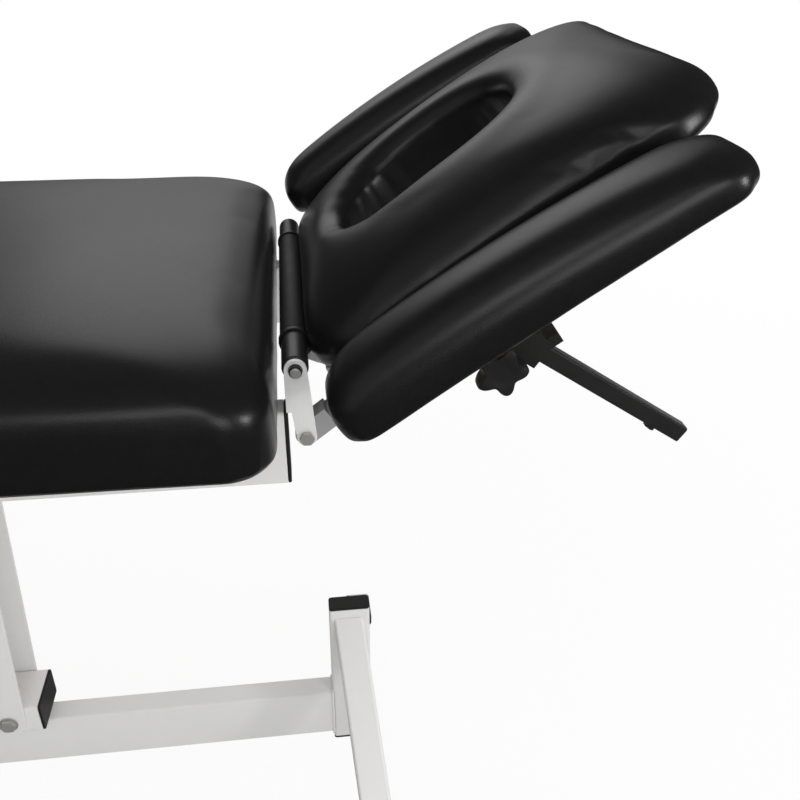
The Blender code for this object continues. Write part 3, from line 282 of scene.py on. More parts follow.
def ringed_coat():
    """Powder coat that turns to black enamel close to the hinge axis."""
    material = powder_coat()
    material.name = "powder_coat_black_ring"
    tree = material.node_tree
    shader = tree.nodes["Principled BSDF"]
    wire = Wire(tree)
    from_hinge = vectors(wire, "SUBTRACT", surface_place(wire), HINGE)
    across = vectors(wire, "MULTIPLY", from_hinge, (1.0, 0.0, 1.0))
    away = vectors(wire, "LENGTH", across, out="Value")
    near = wire.node("ShaderNodeMapRange", None, {0: away, 1: RING_START, 2: RING_END, 3: 1.0, 4: 0.0})
    grey = Wire(tree, shader.inputs["Base Color"].links[0].from_socket)
    sockets = {0: near, 6: grey, 7: RING_BLACK}
    feed(shader, "Base Color", wire.node("ShaderNodeMix", {"data_type": "RGBA"}, sockets, out=2))
    return material


finishes = {
    "frame_paint": powder_coat(),
    "leatherette": leatherette(),
    "black_plastic": plain_finish("moulded_plastic", (0.011, 0.011, 0.0115), (0.022, 0.022, 0.022),
                                  0.52, 900.0, 0.0003, specular=0.28),
    "black_paint": plain_finish("black_enamel", (0.011, 0.011, 0.011), (0.028, 0.027, 0.026),
                                0.34, 420.0, 0.0002),
    "plywood": plywood(),
    "zinc_steel": plain_finish("zinc_plate", (0.56, 0.56, 0.54), (0.40, 0.39, 0.36),
                               0.32, 500.0, 0.0001, metallic=0.5),
    "rubber": plain_finish("foot_rubber", (0.017, 0.017, 0.017), (0.05, 0.048, 0.045),
                           0.82, 700.0, 0.0005, specular=0.3),
    "spring_grey": plain_finish("spring_paint", (0.34, 0.34, 0.345), (0.26, 0.26, 0.26),
                                0.36, 520.0, 0.0002),
    "housing_grey": plain_finish("drive_plastic", (0.10, 0.10, 0.105), (0.15, 0.15, 0.15),
                                 0.52, 1100.0, 0.0003),
}
black_ring = ringed_coat()
print("finishes:", ", ".join(finishes))

# %% [markdown]
# Sheet and tube edges are never razor sharp, and a small round catches a line of light. The packed
# pieces keep their meshes, so the rounding is left to modifiers: join the split corners, merge flat
# facets, bevel what is sharper than the limit, then shade smooth wherever faces meet gently.

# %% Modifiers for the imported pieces
SHARP_ANGLE = math.radians(33)
EDGE_ROUND = 0.0007
JOIN_WITHIN = 0.00002


def geometry_group(name):
    """An empty geometry node group with one mesh in and one out."""
    group = bpy.data.node_groups.new(name, "GeometryNodeTree")
    group.interface.new_socket("Geometry", in_out="INPUT", socket_type="NodeSocketGeometry")
    group.interface.new_socket("Geometry", in_out="OUTPUT", socket_type="NodeSocketGeometry")
    return group, group.nodes.new("NodeGroupInput"), group.nodes.new("NodeGroupOutput")


def joined_corners():
    group, start, end = geometry_group("joined_corners")
    forget = group.nodes.new("GeometryNodeRemoveAttribute")
    forget.inputs["Name"].default_value = "custom_normal"
    merge = group.nodes.new("GeometryNodeMergeByDistance")
    merge.inputs["Distance"].default_value = JOIN_WITHIN
    group.links.new(start.outputs[0], forget.inputs["Geometry"])
    group.links.new(forget.outputs[0], merge.inputs["Geometry"])
    group.links.new(merge.outputs[0], end.inputs[0])
    return group


def gentle_shading():
    group, start, end = geometry_group("gentle_shading")
    smooth = group.nodes.new("GeometryNodeSetShadeSmooth")
    smooth.inputs["Shade Smooth"].default_value = True
    angle = group.nodes.new("GeometryNodeInputMeshEdgeAngle")
    sharp = group.nodes.new("FunctionNodeCompare")
    sharp.inputs["B"].default_value = SHARP_ANGLE
    crease = group.nodes.new("GeometryNodeSetShadeSmooth")
    crease.domain = "EDGE"
    crease.inputs["Shade Smooth"].default_value = False
    group.links.new(start.outputs[0], smooth.inputs["Geometry"])
    group.links.new(angle.outputs["Unsigned Angle"], sharp.inputs["A"])
    group.links.new(sharp.outputs[0], crease.inputs["Selection"])
    group.links.new(smooth.outputs[0], crease.inputs["Geometry"])
    group.links.new(crease.outputs[0], end.inputs[0])
    return group


joining = joined_corners()
shading = gentle_shading()


def bevel(piece, width):
    """Rounds each edge that is sharper than the limit."""
    edge = piece.modifiers.new("edge", "BEVEL")
    edge.width = width
    edge.segments = 2
    edge.limit_method = "ANGLE"
    edge.angle_limit = SHARP_ANGLE


def round_edges(piece):
    """Rounds and shades a rigid piece without touching its mesh."""
    piece.modifiers.new("join", "NODES").node_group = joining
    flat = piece.modifiers.new("flat", "DECIMATE")
    flat.decimate_type = "DISSOLVE"
    flat.angle_limit = math.radians(0.6)
    bevel(piece, EDGE_ROUND)
    piece.modifiers.new("shade", "NODES").node_group = shading
    even = piece.modifiers.new("even", "WEIGHTED_NORMAL")
    even.keep_sharp = True


slot_of = {row["node"]: row["material_slot"] for row in frame["record"]["subparts"]}
for name, piece in frame["nodes"].items():
    piece.material_slots[0].link = "OBJECT"
    piece.material_slots[0].material = black_ring if name.endswith("head_tube") else finishes[slot_of[name]]
    if slot_of[name] != "leatherette":
        round_edges(piece)
print("dressed", len(slot_of), "packed pieces")

# %% [markdown]
# The cushions are foam on plywood under a pulled cover. Each one starts as a grid over its plan, close
# at the edges and wide in the middle, so that the rolled edge has enough points. The corner squares
# of the grid are pressed into quarter rounds, and the height follows the distance from the edge. A
# plain cube with a bevel would look like a box; this profile is full and rolls over all round.

# %% Cushion forms
RIM_HEIGHT = 0.012
BOARD_POCKET = 0.0123
POCKET_MARGIN = 0.0197
SIDE_DRAW = 0.004
MIDDLE_STEP = 0.014


def edge_steps(half, roll, power, count):
    """Distances from the middle of a side, dense where the edge rolls over."""
    insets = [roll * (1.0 - math.cos(math.pi / 2 * step / count) ** (2 / power)) for step in range(count)]
    insets = [inset for inset in insets if inset < half * 0.8]
    inner = half - insets[-1]
    middle = max(2, round(2 * inner / MIDDLE_STEP))
    flat = [inner * (2 * step / middle - 1) for step in range(1, middle)]
    return [-half + inset for inset in insets] + flat + [half - inset for inset in reversed(insets)]


def depth_share(x, y, half_x, half_y, corner):
    """How deep inside a rounded plan each point lies: 0 at the edge and 1 on the middle line."""
    shallow = np.zeros_like(x)
    deep = np.ones_like(x)
    for halving in range(26):
        share = (shallow + deep) / 2
        inset = share * half_y
        radius = np.minimum(corner + inset, half_y - inset)
        past_x = np.abs(x) - (half_x - inset - radius)
        past_y = np.abs(y) - (half_y - inset - radius)
        reach = np.hypot(np.maximum(past_x, 0), np.maximum(past_y, 0))
        outside = reach + np.minimum(np.maximum(past_x, past_y), 0) > radius
        deep = np.where(outside, share, deep)
        shallow = np.where(outside, shallow, share)
    return shallow


def crown(x, y, half_x, half_y, corner, shape):
    """Height over the rim at plan points, from how near the edge they lie."""
    near = 1.0 - depth_share(x, y, half_x, half_y, corner)
    dome = (1.0 - near ** shape["power"]) ** (1 / shape["power"])
    run = x / half_x
    return shape["height"] * dome * (1.0 - shape["arch"] * run ** 2 - shape["taper"] * run)


def pressed_corner(x, y, half_x, half_y, radius):
    """Presses the corner squares of a grid into quarter rounds."""
    s = np.maximum(0.0, np.abs(x) - (half_x - radius)) / radius
    t = np.maximum(0.0, np.abs(y) - (half_y - radius)) / radius
    both = (s > 0) & (t > 0)
    new_x = np.where(both, (half_x - radius) + radius * s * np.sqrt(1 - t * t / 2), np.abs(x))
    new_y = np.where(both, (half_y - radius) + radius * t * np.sqrt(1 - s * s / 2), np.abs(y))
    return np.sign(x) * new_x, np.sign(y) * new_y


def draw_in(points, half_x, half_y):
    """Pulls the long sides in a little between the corners."""
    pull = SIDE_DRAW * (1.0 - (points[:, 0] / half_x) ** 2) / half_y
    points[:, 1] *= 1.0 - np.maximum(pull, 0.0)
    return points


def inward(loop, distance):
    """A closed loop of plan points moved in by a distance."""
    ahead = np.roll(loop, -1, axis=0) - np.roll(loop, 1, axis=0)
    normal = np.stack([-ahead[:, 1], ahead[:, 0]], axis=1)
    normal /= np.linalg.norm(normal, axis=1)[:, None]
    return loop + normal * distance


print("cushion forms ready")

# %% [markdown]
# A cover runs on past the rolled edge: it turns under the cushion in a few rows, ends at a pocket for
# the board, and is stapled there. The rows are joined by bands of four-sided faces, and the stapled
# points go into a group, because the stuffing has to leave them where they are.

# %% Covers
UNDER_ROWS = [(0.0006, 0.0078), (0.0022, 0.0042), (0.0046, 0.0020), (0.0076, 0.0011), (0.0130, 0.0004)]
HELD_FROM = 4


def at_height(plan, height):
    """Plan points lifted to one height, or each to its own."""
    return np.column_stack([plan, np.broadcast_to(height, len(plan))])


def band(first, second):
    """Four-sided faces between two closed loops of point numbers."""
    count = len(first)
    return [(first[step], first[(step + 1) % count], second[(step + 1) % count], second[step])
            for step in range(count)]


def cover_mesh(name, points, faces, held):
    """A cover object from its points and faces, with the stapled points in a group named held."""
    mesh = bpy.data.meshes.new(name)
    mesh.from_pydata([tuple(point) for point in points], [], faces)
    shape = bmesh.new()
    shape.from_mesh(mesh)
    bmesh.ops.triangulate(shape, faces=[face for face in shape.faces if len(face.verts) > 4])
    shape.to_mesh(mesh)
    shape.free()
    mesh.shade_smooth()
    piece = placed(name, mesh)
    group = piece.vertex_groups.new(name="held")
    group.add([int(index) for index in held], 1.0, "REPLACE")
    return piece


def stuffed_cover(name, half_x, half_y, corner, shape):
    """A closed cushion cover over a rounded plan, its underside at zero height."""
    xs = np.array(edge_steps(half_x, half_y, shape["power"], shape["count"]))
    ys = np.array(edge_steps(half_y, half_y, shape["power"], shape["count"]))
    columns_count, rows_count = len(xs), len(ys)
    grid_x, grid_y = np.meshgrid(xs, ys, indexing="ij")
    x, y = pressed_corner(grid_x.ravel(), grid_y.ravel(), half_x, half_y, corner)
    top = np.column_stack([x, y, RIM_HEIGHT + crown(x, y, half_x, half_y, corner, shape)])
    index = np.arange(columns_count * rows_count).reshape(columns_count, rows_count)
    edge = np.concatenate([index[:, 0], index[-1, 1:], index[-2::-1, -1], index[0, -2:0:-1]])
    top[edge, 2] = RIM_HEIGHT
    faces = []
    for i in range(columns_count - 1):
        for j in range(rows_count - 1):
            faces.append((index[i, j], index[i + 1, j], index[i + 1, j + 1], index[i, j + 1]))
    rim = top[edge, :2]
    rows = [at_height(inward(rim, inset), height) for inset, height in UNDER_ROWS]
    rows += [at_height(inward(rim, shape["margin"]), height) for height in (0.0, BOARD_POCKET)]
    count = len(rim)
    start = len(top)
    loops = [edge] + [start + count * row + np.arange(count) for row in range(len(rows))]
    for outer, inner in zip(loops, loops[1:]):
        for step in range(count):
            following = (step + 1) % count
            faces.append((outer[following], outer[step], inner[step], inner[following]))
    faces.append(tuple(loops[-1][::-1]))
    points = draw_in(np.concatenate([top] + rows), half_x, half_y)
    points[start + count * len(UNDER_ROWS):, :2] = np.concatenate([rows[-2][:, :2], rows[-1][:, :2]])
    return cover_mesh(name, points, faces, np.concatenate(loops[HELD_FROM:]))


print("covers ready")

# %% [markdown]
# Foam pushes its cover out until the leatherette is taut. Blender's cloth solver does the same: the
# stapled underside is held, a small inner pressure swells the rest for twenty frames without gravity,
# and each point may move only a few millimetres, so that neighbours never touch. The settled shape is
# written back to the mesh, the solver is removed, and one subdivision smooths the result.

# %% Stuffing
STUFFING_FRAMES = 20
CLOTH = {"quality": 4, "mass": 0.25, "tension_stiffness": 25.0, "compression_stiffness": 25.0,
         "shear_stiffness": 12.0, "bending_stiffness": 2.0, "use_pressure": True,
         "uniform_pressure_force": 4.0, "vertex_group_mass": "held"}


def points_of(mesh):
    """The points of a mesh as rows of numbers."""
    places = np.empty(len(mesh.vertices) * 3, np.float32)
    mesh.vertices.foreach_get("co", places)
    return places.reshape(-1, 3).astype(float)


def set_points(mesh, points):
    mesh.vertices.foreach_set("co", points.astype(np.float32).ravel())
    mesh.update()


def stuff(piece, most):
    """Swells a cover by simulation, moving no point further than the given distance."""
    before = points_of(piece.data)
    cloth = piece.modifiers.new("stuffing", "CLOTH")
    for name, value in CLOTH.items():
        setattr(cloth.settings, name, value)
    cloth.settings.effector_weights.gravity = 0.0
    cloth.collision_settings.use_collision = False
    cloth.point_cache.frame_start = 1
    cloth.point_cache.frame_end = STUFFING_FRAMES
    for step in range(1, STUFFING_FRAMES + 1):
        scene.frame_set(step)
    settled = piece.evaluated_get(bpy.context.evaluated_depsgraph_get()).data
    move = points_of(settled) - before
    piece.modifiers.remove(cloth)
    scene.frame_set(1)
    length = np.linalg.norm(move, axis=1)
    move *= np.minimum(1.0, most / np.maximum(length, 1e-9))[:, None]
    set_points(piece.data, before + move)
    print(piece.name, "swelled by up to", round(float(min(length.max(), most)) * 1000, 1), "mm")
    finer = piece.modifiers.new("finer", "SUBSURF")
    finer.levels = 1
    finer.render_levels = 1


def shift_points(piece, amounts):
    """Moves each point along its normal by its own amount."""
    normals = np.empty(len(piece.data.vertices) * 3, np.float32)
    piece.data.vertex_normals.foreach_get("vector", normals)
    set_points(piece.data, points_of(piece.data) + normals.reshape(-1, 3) * amounts[:, None])


def gather_corners(piece, half_x, half_y, corner, height, depth, folds):
    """Small pleats where the cover is pulled under a corner; they fade out upwards."""
    points = points_of(piece.data)
    s = (np.abs(points[:, 0]) - (half_x - corner)) / corner
    t = (np.abs(points[:, 1]) - (half_y - corner)) / corner
    angle = np.arctan2(np.maximum(t, 0.0), np.maximum(s, 0.0))
    reach = np.hypot(np.maximum(s, 0.0), np.maximum(t, 0.0))
    share = np.sin(2 * angle) ** 2 * np.clip((reach - 0.55) / 0.4, 0.0, 1.0)
    fade = np.clip(1.0 - points[:, 2] / height, 0.0, 1.0) ** 1.3
    under = np.clip(points[:, 2] / 0.004, 0.0, 1.0)
    shift_points(piece, -depth * share * fade * under * (0.5 + 0.5 * np.cos(folds * 2 * angle)))


def pucker_sides(piece, depth, height):
    """Slow swells and dips along the sides, where the cover is stapled at uneven tension."""
    points = points_of(piece.data)
    around = points[:, 0] * 57.0 + points[:, 1] * 71.0
    wave = np.sin(around) + 0.6 * np.sin(2.3 * around + 1.7) + 0.4 * np.sin(4.1 * around + 0.4)
    fade = np.clip(1.0 - points[:, 2] / height, 0.0, 1.0) * np.clip(points[:, 2] / 0.006, 0.0, 1.0)
    shift_points(piece, depth * wave * fade)


def fit_cover(cover, place, body, node):
    """Carries a finished cover to its place, where it stands for a packed cushion."""
    cover.data.transform(place)
    cover.data.materials.append(finishes["leatherette"])
    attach(cover, body)
    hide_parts(node)
    print(cover.name, len(cover.data.vertices), "points")


print("stuffing ready")

# %% [markdown]
# The main cushion is the largest: firm, almost flat on top, with a tightly rolled edge. Its length and
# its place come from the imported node. The cover stands a little wider, and higher in the middle, as
# full foam does. Only the corners show how it was pulled under and stapled, as faint pleats that fade
# before they reach the top.

# %% Main cushion
MAIN_CORNER = 0.046
MAIN_HALF_Y = 0.318
MAIN_CROWN = 0.012
MAIN_FULLER = 0.0015
MAIN_SWELL = 0.0025

low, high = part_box("main_cushion")
high.x += MAIN_FULLER
main_half_x = (high.x - low.x) / 2
main_shape = {"power": 4.9, "height": high.z - low.z - RIM_HEIGHT + MAIN_CROWN, "arch": 0.0, "taper": 0.0,
              "count": 18, "margin": POCKET_MARGIN}
main_cushion = stuffed_cover("main_cushion_cover", main_half_x, MAIN_HALF_Y, MAIN_CORNER, main_shape)
stuff(main_cushion, MAIN_SWELL)
gather_corners(main_cushion, main_half_x, MAIN_HALF_Y, MAIN_CORNER, height=0.06, depth=0.0016, folds=5)
pucker_sides(main_cushion, depth=0.0003, height=0.05)
main_place = Matrix.Translation(((low.x + high.x) / 2, 0.0, low.z))
fit_cover(main_cushion, main_place, "top_frame", "main_cushion")

# %% [markdown]
# The head section tilts about the hinge, so its cushions are easier to shape lying flat: u runs along
# the section from the hinge, v across it and w out of its upper side. The hinge comes from the joint
# in the record, and one matrix carries the finished covers to their tilted place.

# %% Head section's own axes
HEAD_TILT = math.radians(34.5)
head_place = Matrix.Translation(HINGE) @ Matrix.Rotation(-HEAD_TILT, 4, "Y")


def head_box(node):
    """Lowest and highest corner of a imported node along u, v and w."""
    back = head_place.inverted()
    corners = np.array([back @ vertex.co for vertex in frame["nodes"][node].data.vertices])
    return Vector(corners.min(0)), Vector(corners.max(0))


pad_low, pad_high = head_box("head_cushion")
print("head cushion along u, v, w:", [round(v, 4) for v in pad_low], [round(v, 4) for v in pad_high])

# %% [markdown]
# The head cushion has a face slot, so its cover is a ring and not a lid: loops run from the outer edge
# over the crown, down the slot's wall, and under the board, where the lining is turned out. Each loop
# has a point for each point of the outline, which keeps the mesh in clean four-sided faces.

# %% Cover with a slot
OUTLINE_STEP = 0.0055
CORNER_STEPS = 16
SLOT_HALF_U = 0.131
SLOT_HALF_V = 0.103
SLOT_ROUND = 0.020
SLOT_INSET = 0.024
WALL_INSET = 0.0169
LINING_THICK = 0.0006
SLOT_POWER = 2.4
SLOT_FOLDS = 23
LINING_TURN = 0.014
LINING_LOW = -0.0010
LINING_HIGH = -0.0004
CROWN_SHARES = (0.006, 0.02, 0.04, 0.07, 0.11, 0.16, 0.22, 0.3,
                0.38, 0.47, 0.56, 0.65, 0.74, 0.83, 0.92, 1.0)
WALL_TURNS = 6
WALL_SHARES = (0.25, 0.5, 0.7, 0.85)
UPRIGHT_FROM = 0.7


def rounded_loop(half_x, half_y, radius, spacing):
    """Evenly spaced points round a rectangle with round corners, anticlockwise."""
    corners = ((1, 1, 0.0), (-1, 1, 0.5), (-1, -1, 1.0), (1, -1, 1.5))
    outline = []
    for side_x, side_y, turn in corners:
        for step in range(CORNER_STEPS + 1):
            angle = math.pi * (turn + 0.5 * step / CORNER_STEPS)
            outline.append((side_x * (half_x - radius) + radius * math.cos(angle),
                            side_y * (half_y - radius) + radius * math.sin(angle)))
    outline = np.array(outline + outline[:1])
    run = np.concatenate([[0.0], np.cumsum(np.linalg.norm(np.diff(outline, axis=0), axis=1))])
    wanted = np.linspace(0.0, run[-1], round(run[-1] / spacing), endpoint=False)
    return np.column_stack([np.interp(wanted, run, outline[:, 0]), np.interp(wanted, run, outline[:, 1])])


def slot_loop(outline, half_x, half_y, offset, rim_x, rim_y):
    """The slot's oval, with one point for each point of the outline."""
    angle = np.arctan2(outline[:, 1] / half_y, outline[:, 0] / half_x)
    c, s = np.cos(angle), np.sin(angle)
    oval_x = np.sign(c) * np.abs(c) ** (2 / SLOT_POWER) * rim_x
    oval_y = np.sign(s) * np.abs(s) ** (2 / SLOT_POWER) * rim_y
    return np.column_stack([offset + oval_x, oval_y])


def slotted_cover(name, half_x, half_y, corner, shape, offset):
    """A closed cover with a slot through it, its underside at zero height."""
    outline = rounded_loop(half_x, half_y, corner, OUTLINE_STEP)
    count = len(outline)

    def slot_at(inset):
        return slot_loop(outline, half_x, half_y, offset, SLOT_HALF_U - inset, SLOT_HALF_V - inset)

    pocket = inward(outline, POCKET_MARGIN)
    under = [at_height(inward(outline, inset), height) for inset, height in reversed(UNDER_ROWS)]
    under = [draw_in(row, half_x, half_y) for row in under]
    edge = draw_in(at_height(outline, RIM_HEIGHT), half_x, half_y)
    rim = slot_at(0.0)
    over = []
    for share in CROWN_SHARES:
        plan = edge[:, :2] + (rim - edge[:, :2]) * share
        rise = crown(plan[:, 0], plan[:, 1], half_x, half_y, corner, shape)
        over.append(at_height(plan, RIM_HEIGHT + rise))
    wall = []
    for step in range(1, WALL_TURNS + 1):
        turn = math.pi / 2 * step / WALL_TURNS
        fall = SLOT_ROUND * (1.0 - math.cos(turn))
        wall.append(at_height(slot_at(SLOT_INSET * math.sin(turn)), over[-1][:, 2] - fall))
    foot = wall[-1][:, 2]
    for share in WALL_SHARES:
        inset = SLOT_INSET + (WALL_INSET - SLOT_INSET) * min(1.0, share / UPRIGHT_FROM)
        wall.append(at_height(slot_at(inset), foot + (LINING_LOW - foot) * share))
    out = slot_at(WALL_INSET - LINING_TURN)
    back = slot_at(WALL_INSET - LINING_THICK)
    lining = [at_height(slot_at(WALL_INSET), LINING_LOW), at_height(out, LINING_LOW),
              at_height(out, LINING_HIGH), at_height(back, LINING_HIGH), at_height(back, BOARD_POCKET)]
    rows = [at_height(pocket, BOARD_POCKET), at_height(pocket, 0.0)] + under + [edge] + over + wall + lining
    loops = [row * count + np.arange(count) for row in range(len(rows))]
    faces = []
    for this, later in zip(loops, loops[1:] + loops[:1]):
        faces += band(this, later)
    free_last = len(rows) - len(lining) - 3
    held = np.concatenate(loops[:HELD_FROM] + loops[free_last + 1:])
    return cover_mesh(name, np.concatenate(rows), faces, held)


print("slotted cover ready")

# %% [markdown]
# The head cushion is softer than the main one, so its crown falls away sooner towards the edges. Where
# the cover is drawn down through the slot it wrinkles, so upright creases are pushed into the lining
# after the stuffing.

# %% Head cushion
HEAD_CORNER = 0.064
HEAD_POWER = 2.3
HEAD_FULLER = 0.004
HEAD_SWELL = 0.0025
HEAD_HALF_V = 0.2128
HEAD_HEIGHT = 0.086
HEAD_ROOM = 0.002
SLOT_CENTRE = 0.195
CREASE_DEPTH = 0.0012


def crease_slot(piece, offset, height):
    """Upright creases in the slot's lining, where the cover is drawn through."""
    points = points_of(piece.data)
    u = (points[:, 0] - offset) / (SLOT_HALF_U - WALL_INSET)
    v = points[:, 1] / (SLOT_HALF_V - WALL_INSET)
    nearness = np.clip(1.22 - np.hypot(u, v), 0.0, 0.2) / 0.2
    below = np.clip((height * 0.86 - points[:, 2]) / 0.02, 0.0, 1.0)
    above = np.clip((points[:, 2] - 0.014) / 0.01, 0.0, 1.0)
    angle = np.arctan2(v, u)
    uneven = SLOT_FOLDS * angle + 1.6 * np.sin(3 * angle)
    folds = (0.5 + 0.5 * np.cos(uneven)) * (0.6 + 0.4 * np.cos(5 * angle + 1.0))
    shift_points(piece, CREASE_DEPTH * nearness * (below * above) * folds)


pad_low.x -= HEAD_FULLER
pad_half_u = (pad_high.x - pad_low.x) / 2
pad_middle = (pad_high.x + pad_low.x) / 2
slot_offset = SLOT_CENTRE - pad_middle
head_shape = {"power": HEAD_POWER, "height": HEAD_HEIGHT - RIM_HEIGHT - HEAD_ROOM, "arch": 0.0, "taper": 0.0}
head_cushion = slotted_cover("head_cushion_cover", pad_half_u, HEAD_HALF_V, HEAD_CORNER, head_shape,
                             slot_offset)
stuff(head_cushion, HEAD_SWELL)
gather_corners(head_cushion, pad_half_u, HEAD_HALF_V, HEAD_CORNER, height=0.05, depth=0.0016, folds=5)
pucker_sides(head_cushion, depth=0.0003, height=0.045)
crease_slot(head_cushion, slot_offset, HEAD_HEIGHT)
pad_place = head_place @ Matrix.Translation((pad_middle, 0.0, pad_low.z))
fit_cover(head_cushion, pad_place, "head_frame", "head_cushion")

# %% [markdown]
# The two armrests are narrow bolsters beside the head cushion. They arch along their length and are a
# little thinner towards the head end. The far one is clamped higher on its bar than the near one, and
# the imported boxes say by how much.

# %% Armrest cushions
ARM_CORNER = 0.030
ARM_SWELL = 0.002
ARM_HALF_V = 0.0505
ARM_OUTWARD = 0.0032
ARM_HEIGHT = 0.060
ARM_LONGER = 0.006
ARM_MARGIN = 0.0157
ARM_ROOM = 0.001

arm_shape = {"power": 3.0, "height": ARM_HEIGHT - RIM_HEIGHT - ARM_ROOM, "arch": 0.30, "taper": 0.18,
             "count": 11, "margin": ARM_MARGIN}
for side, outward in (("near", -ARM_OUTWARD), ("far", ARM_OUTWARD)):
    low, high = head_box(side + "_armrest_cushion")
    high.x += ARM_LONGER
    half_u = (high.x - low.x) / 2
    cover = stuffed_cover(side + "_armrest_cover", half_u, ARM_HALF_V, ARM_CORNER, arm_shape)
    stuff(cover, ARM_SWELL)
    gather_corners(cover, half_u, ARM_HALF_V, ARM_CORNER, height=0.04, depth=0.0012, folds=4)
    pucker_sides(cover, depth=0.0004, height=0.03)
    middle = ((low.x + high.x) / 2, (low.y + high.y) / 2 + outward, low.z)
    arm_place = head_place @ Matrix.Translation(middle)
    fit_cover(cover, arm_place, side + "_armrest", side + "_armrest_cushion")

# %% [markdown]
# The small parts are mostly round or prismatic, so they can all be skinned over a row of rings, as on
# a lathe. One helper closes the skin at both ends, gives it its finish and its body, and smooths it
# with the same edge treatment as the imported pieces.

# %% Skins over rings
def skin(name, rings, slot, body, closed=False, width=0.0004):
    """A piece skinned over equal rings; a closed row joins its last ring to the first."""
    count = len(rings[0])
    points = [tuple(point) for ring in rings for point in ring]
    loops = [range(row * count, (row + 1) * count) for row in range(len(rings))]
    faces = []
    for this, later in zip(loops, loops[1:] + loops[:1] if closed else loops[1:]):
        faces += band(this, later)
    if not closed:
        faces.append(tuple(loops[0])[::-1])
        faces.append(tuple(loops[-1]))
    mesh = bpy.data.meshes.new(name)
    mesh.from_pydata(points, [], faces)
    mesh.materials.append(finishes[slot])
    piece = placed(name, mesh)
    if width:
        bevel(piece, width)
    piece.modifiers.new("shade", "NODES").node_group = shading
    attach(piece, body)
    return piece


def axis_place(start, ahead):
    """A matrix whose Z axis runs from the start along the given direction."""
    return Matrix.Translation(start) @ Vector(ahead).to_track_quat("Z", "Y").to_matrix().to_4x4()


def ring_of(place, distance, radius, count=32):
    """One ring across an axis; the radius is a number or follows from the angle."""
    ring = []
    for step in range(count):
        angle = 2 * math.pi * step / count
        reach = radius(angle) if callable(radius) else radius
        ring.append(place @ Vector((reach * math.cos(angle), reach * math.sin(angle), distance)))
    return ring


def turned(name, start, ahead, profile, slot, body, count=32, bore=None):
    """A turned piece from pairs of distance and radius along an axis, perhaps bored through."""
    place = axis_place(start, ahead)
    if bore:
        profile = profile + [(profile[-1][0], bore), (profile[0][0], bore)]
    rings = [ring_of(place, distance, radius, count) for distance, radius in profile]
    return skin(name, rings, slot, body, closed=bool(bore))


print("ring helpers ready")

# %% [markdown]
# Each armrest is locked by a five-lobed hand knob, moulded over a steel stud. The lobes are a cosine
# added to the radius; the profile rounds both rims and leaves a shallow dish in the face. The knob
# turns about its stud, so it stays on its own body.

# %% Star knobs
KNOB_RADIUS = 0.0238
KNOB_PROFILE = [(-0.0058, 0.0040, 0.0), (0.0062, 0.0040, 0.0), (0.0064, 0.0088, 0.0), (0.0150, 0.0092, 0.0),
                (0.0153, 0.0190, 0.7), (0.0165, 0.0222, 0.9), (0.0190, 0.0236, 1.0),
                (0.0240, KNOB_RADIUS, 1.0), (0.0285, 0.0235, 1.0), (0.0308, 0.0222, 0.95),
                (0.0321, 0.0196, 0.8), (0.0323, 0.0130, 0.2), (0.0315, 0.0105, 0.0), (0.0311, 0.0060, 0.0)]
LOBE_DEPTH = 0.17


def lobed(radius, share):
    """Radius of a five-lobed outline as a function of the angle."""
    return lambda angle: radius * (1.0 - share * LOBE_DEPTH * (1.0 - math.cos(5 * angle)))


for side, outward in (("near", -1.0), ("far", 1.0)):
    joint = next(joint for joint in frame["joints"] if joint["name"] == side + "_knob_turn")
    place = axis_place(joint["pos_m"], (0.0, outward, 0.0))
    rings = [ring_of(place, distance, lobed(radius, share), 80) for distance, radius, share in KNOB_PROFILE]
    knob = skin(side + "_knob_star", rings, "black_plastic", side + "_knob", width=0.0)
    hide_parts(side + "_star_knob")
    print(knob.name, "replaces", side + "_star_knob")

# %% [markdown]
# The lift arms and the lifting drive turn on through-bolts: a chamfered hexagon head on a washer, a
# plain shank, and a nut with the thread standing proud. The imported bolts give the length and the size,
# and the finer ones take their places.

# %% Bolts
BOLT_BODIES = {"head_arm_base_bolt": "base", "foot_arm_base_bolt": "base", "actuator_bolt": "base",
               "head_arm_top_bolt": "top_frame", "foot_arm_top_bolt": "top_frame"}
HEAD_SHARE = 0.594
SHANK_SHARE = 0.54
WASHER_SHARE = 1.12
TIP_LENGTH = 0.003


def hexagon(reach):
    """Radius of a hexagon with the given corner reach, by angle."""
    return lambda angle: reach * math.cos(math.pi / 6) / math.cos(angle % (math.pi / 3) - math.pi / 6)


for node, body in BOLT_BODIES.items():
    low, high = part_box(node)
    reach = (high.x - low.x) / 2
    head = reach * HEAD_SHARE
    length = high.y - low.y
    nut = length - TIP_LENGTH - head
    shank = reach * SHANK_SHARE
    place = axis_place(((low.x + high.x) / 2, low.y, (low.z + high.z) / 2), (0.0, 1.0, 0.0))
    washer = reach * WASHER_SHARE
    steps = [(0.0, reach * 0.70), (0.0002, reach * 0.80), (head * 0.20, hexagon(reach)),
             (head * 0.80, hexagon(reach)), (head * 0.80, washer), (head * 0.96, washer),
             (head * 0.96, shank), (nut + head * 0.04, shank), (nut + head * 0.04, washer),
             (nut + head * 0.20, washer), (nut + head * 0.20, hexagon(reach)),
             (nut + head * 0.80, hexagon(reach)), (nut + head, reach * 0.80), (nut + head, shank),
             (length - 0.0008, shank), (length, shank * 0.84)]
    bolt = skin(node + "_fine", [ring_of(place, distance, radius, 36) for distance, radius in steps],
                "zinc_steel", body, width=0.0)
    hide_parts(node)
print("bolts:", ", ".join(BOLT_BODIES))

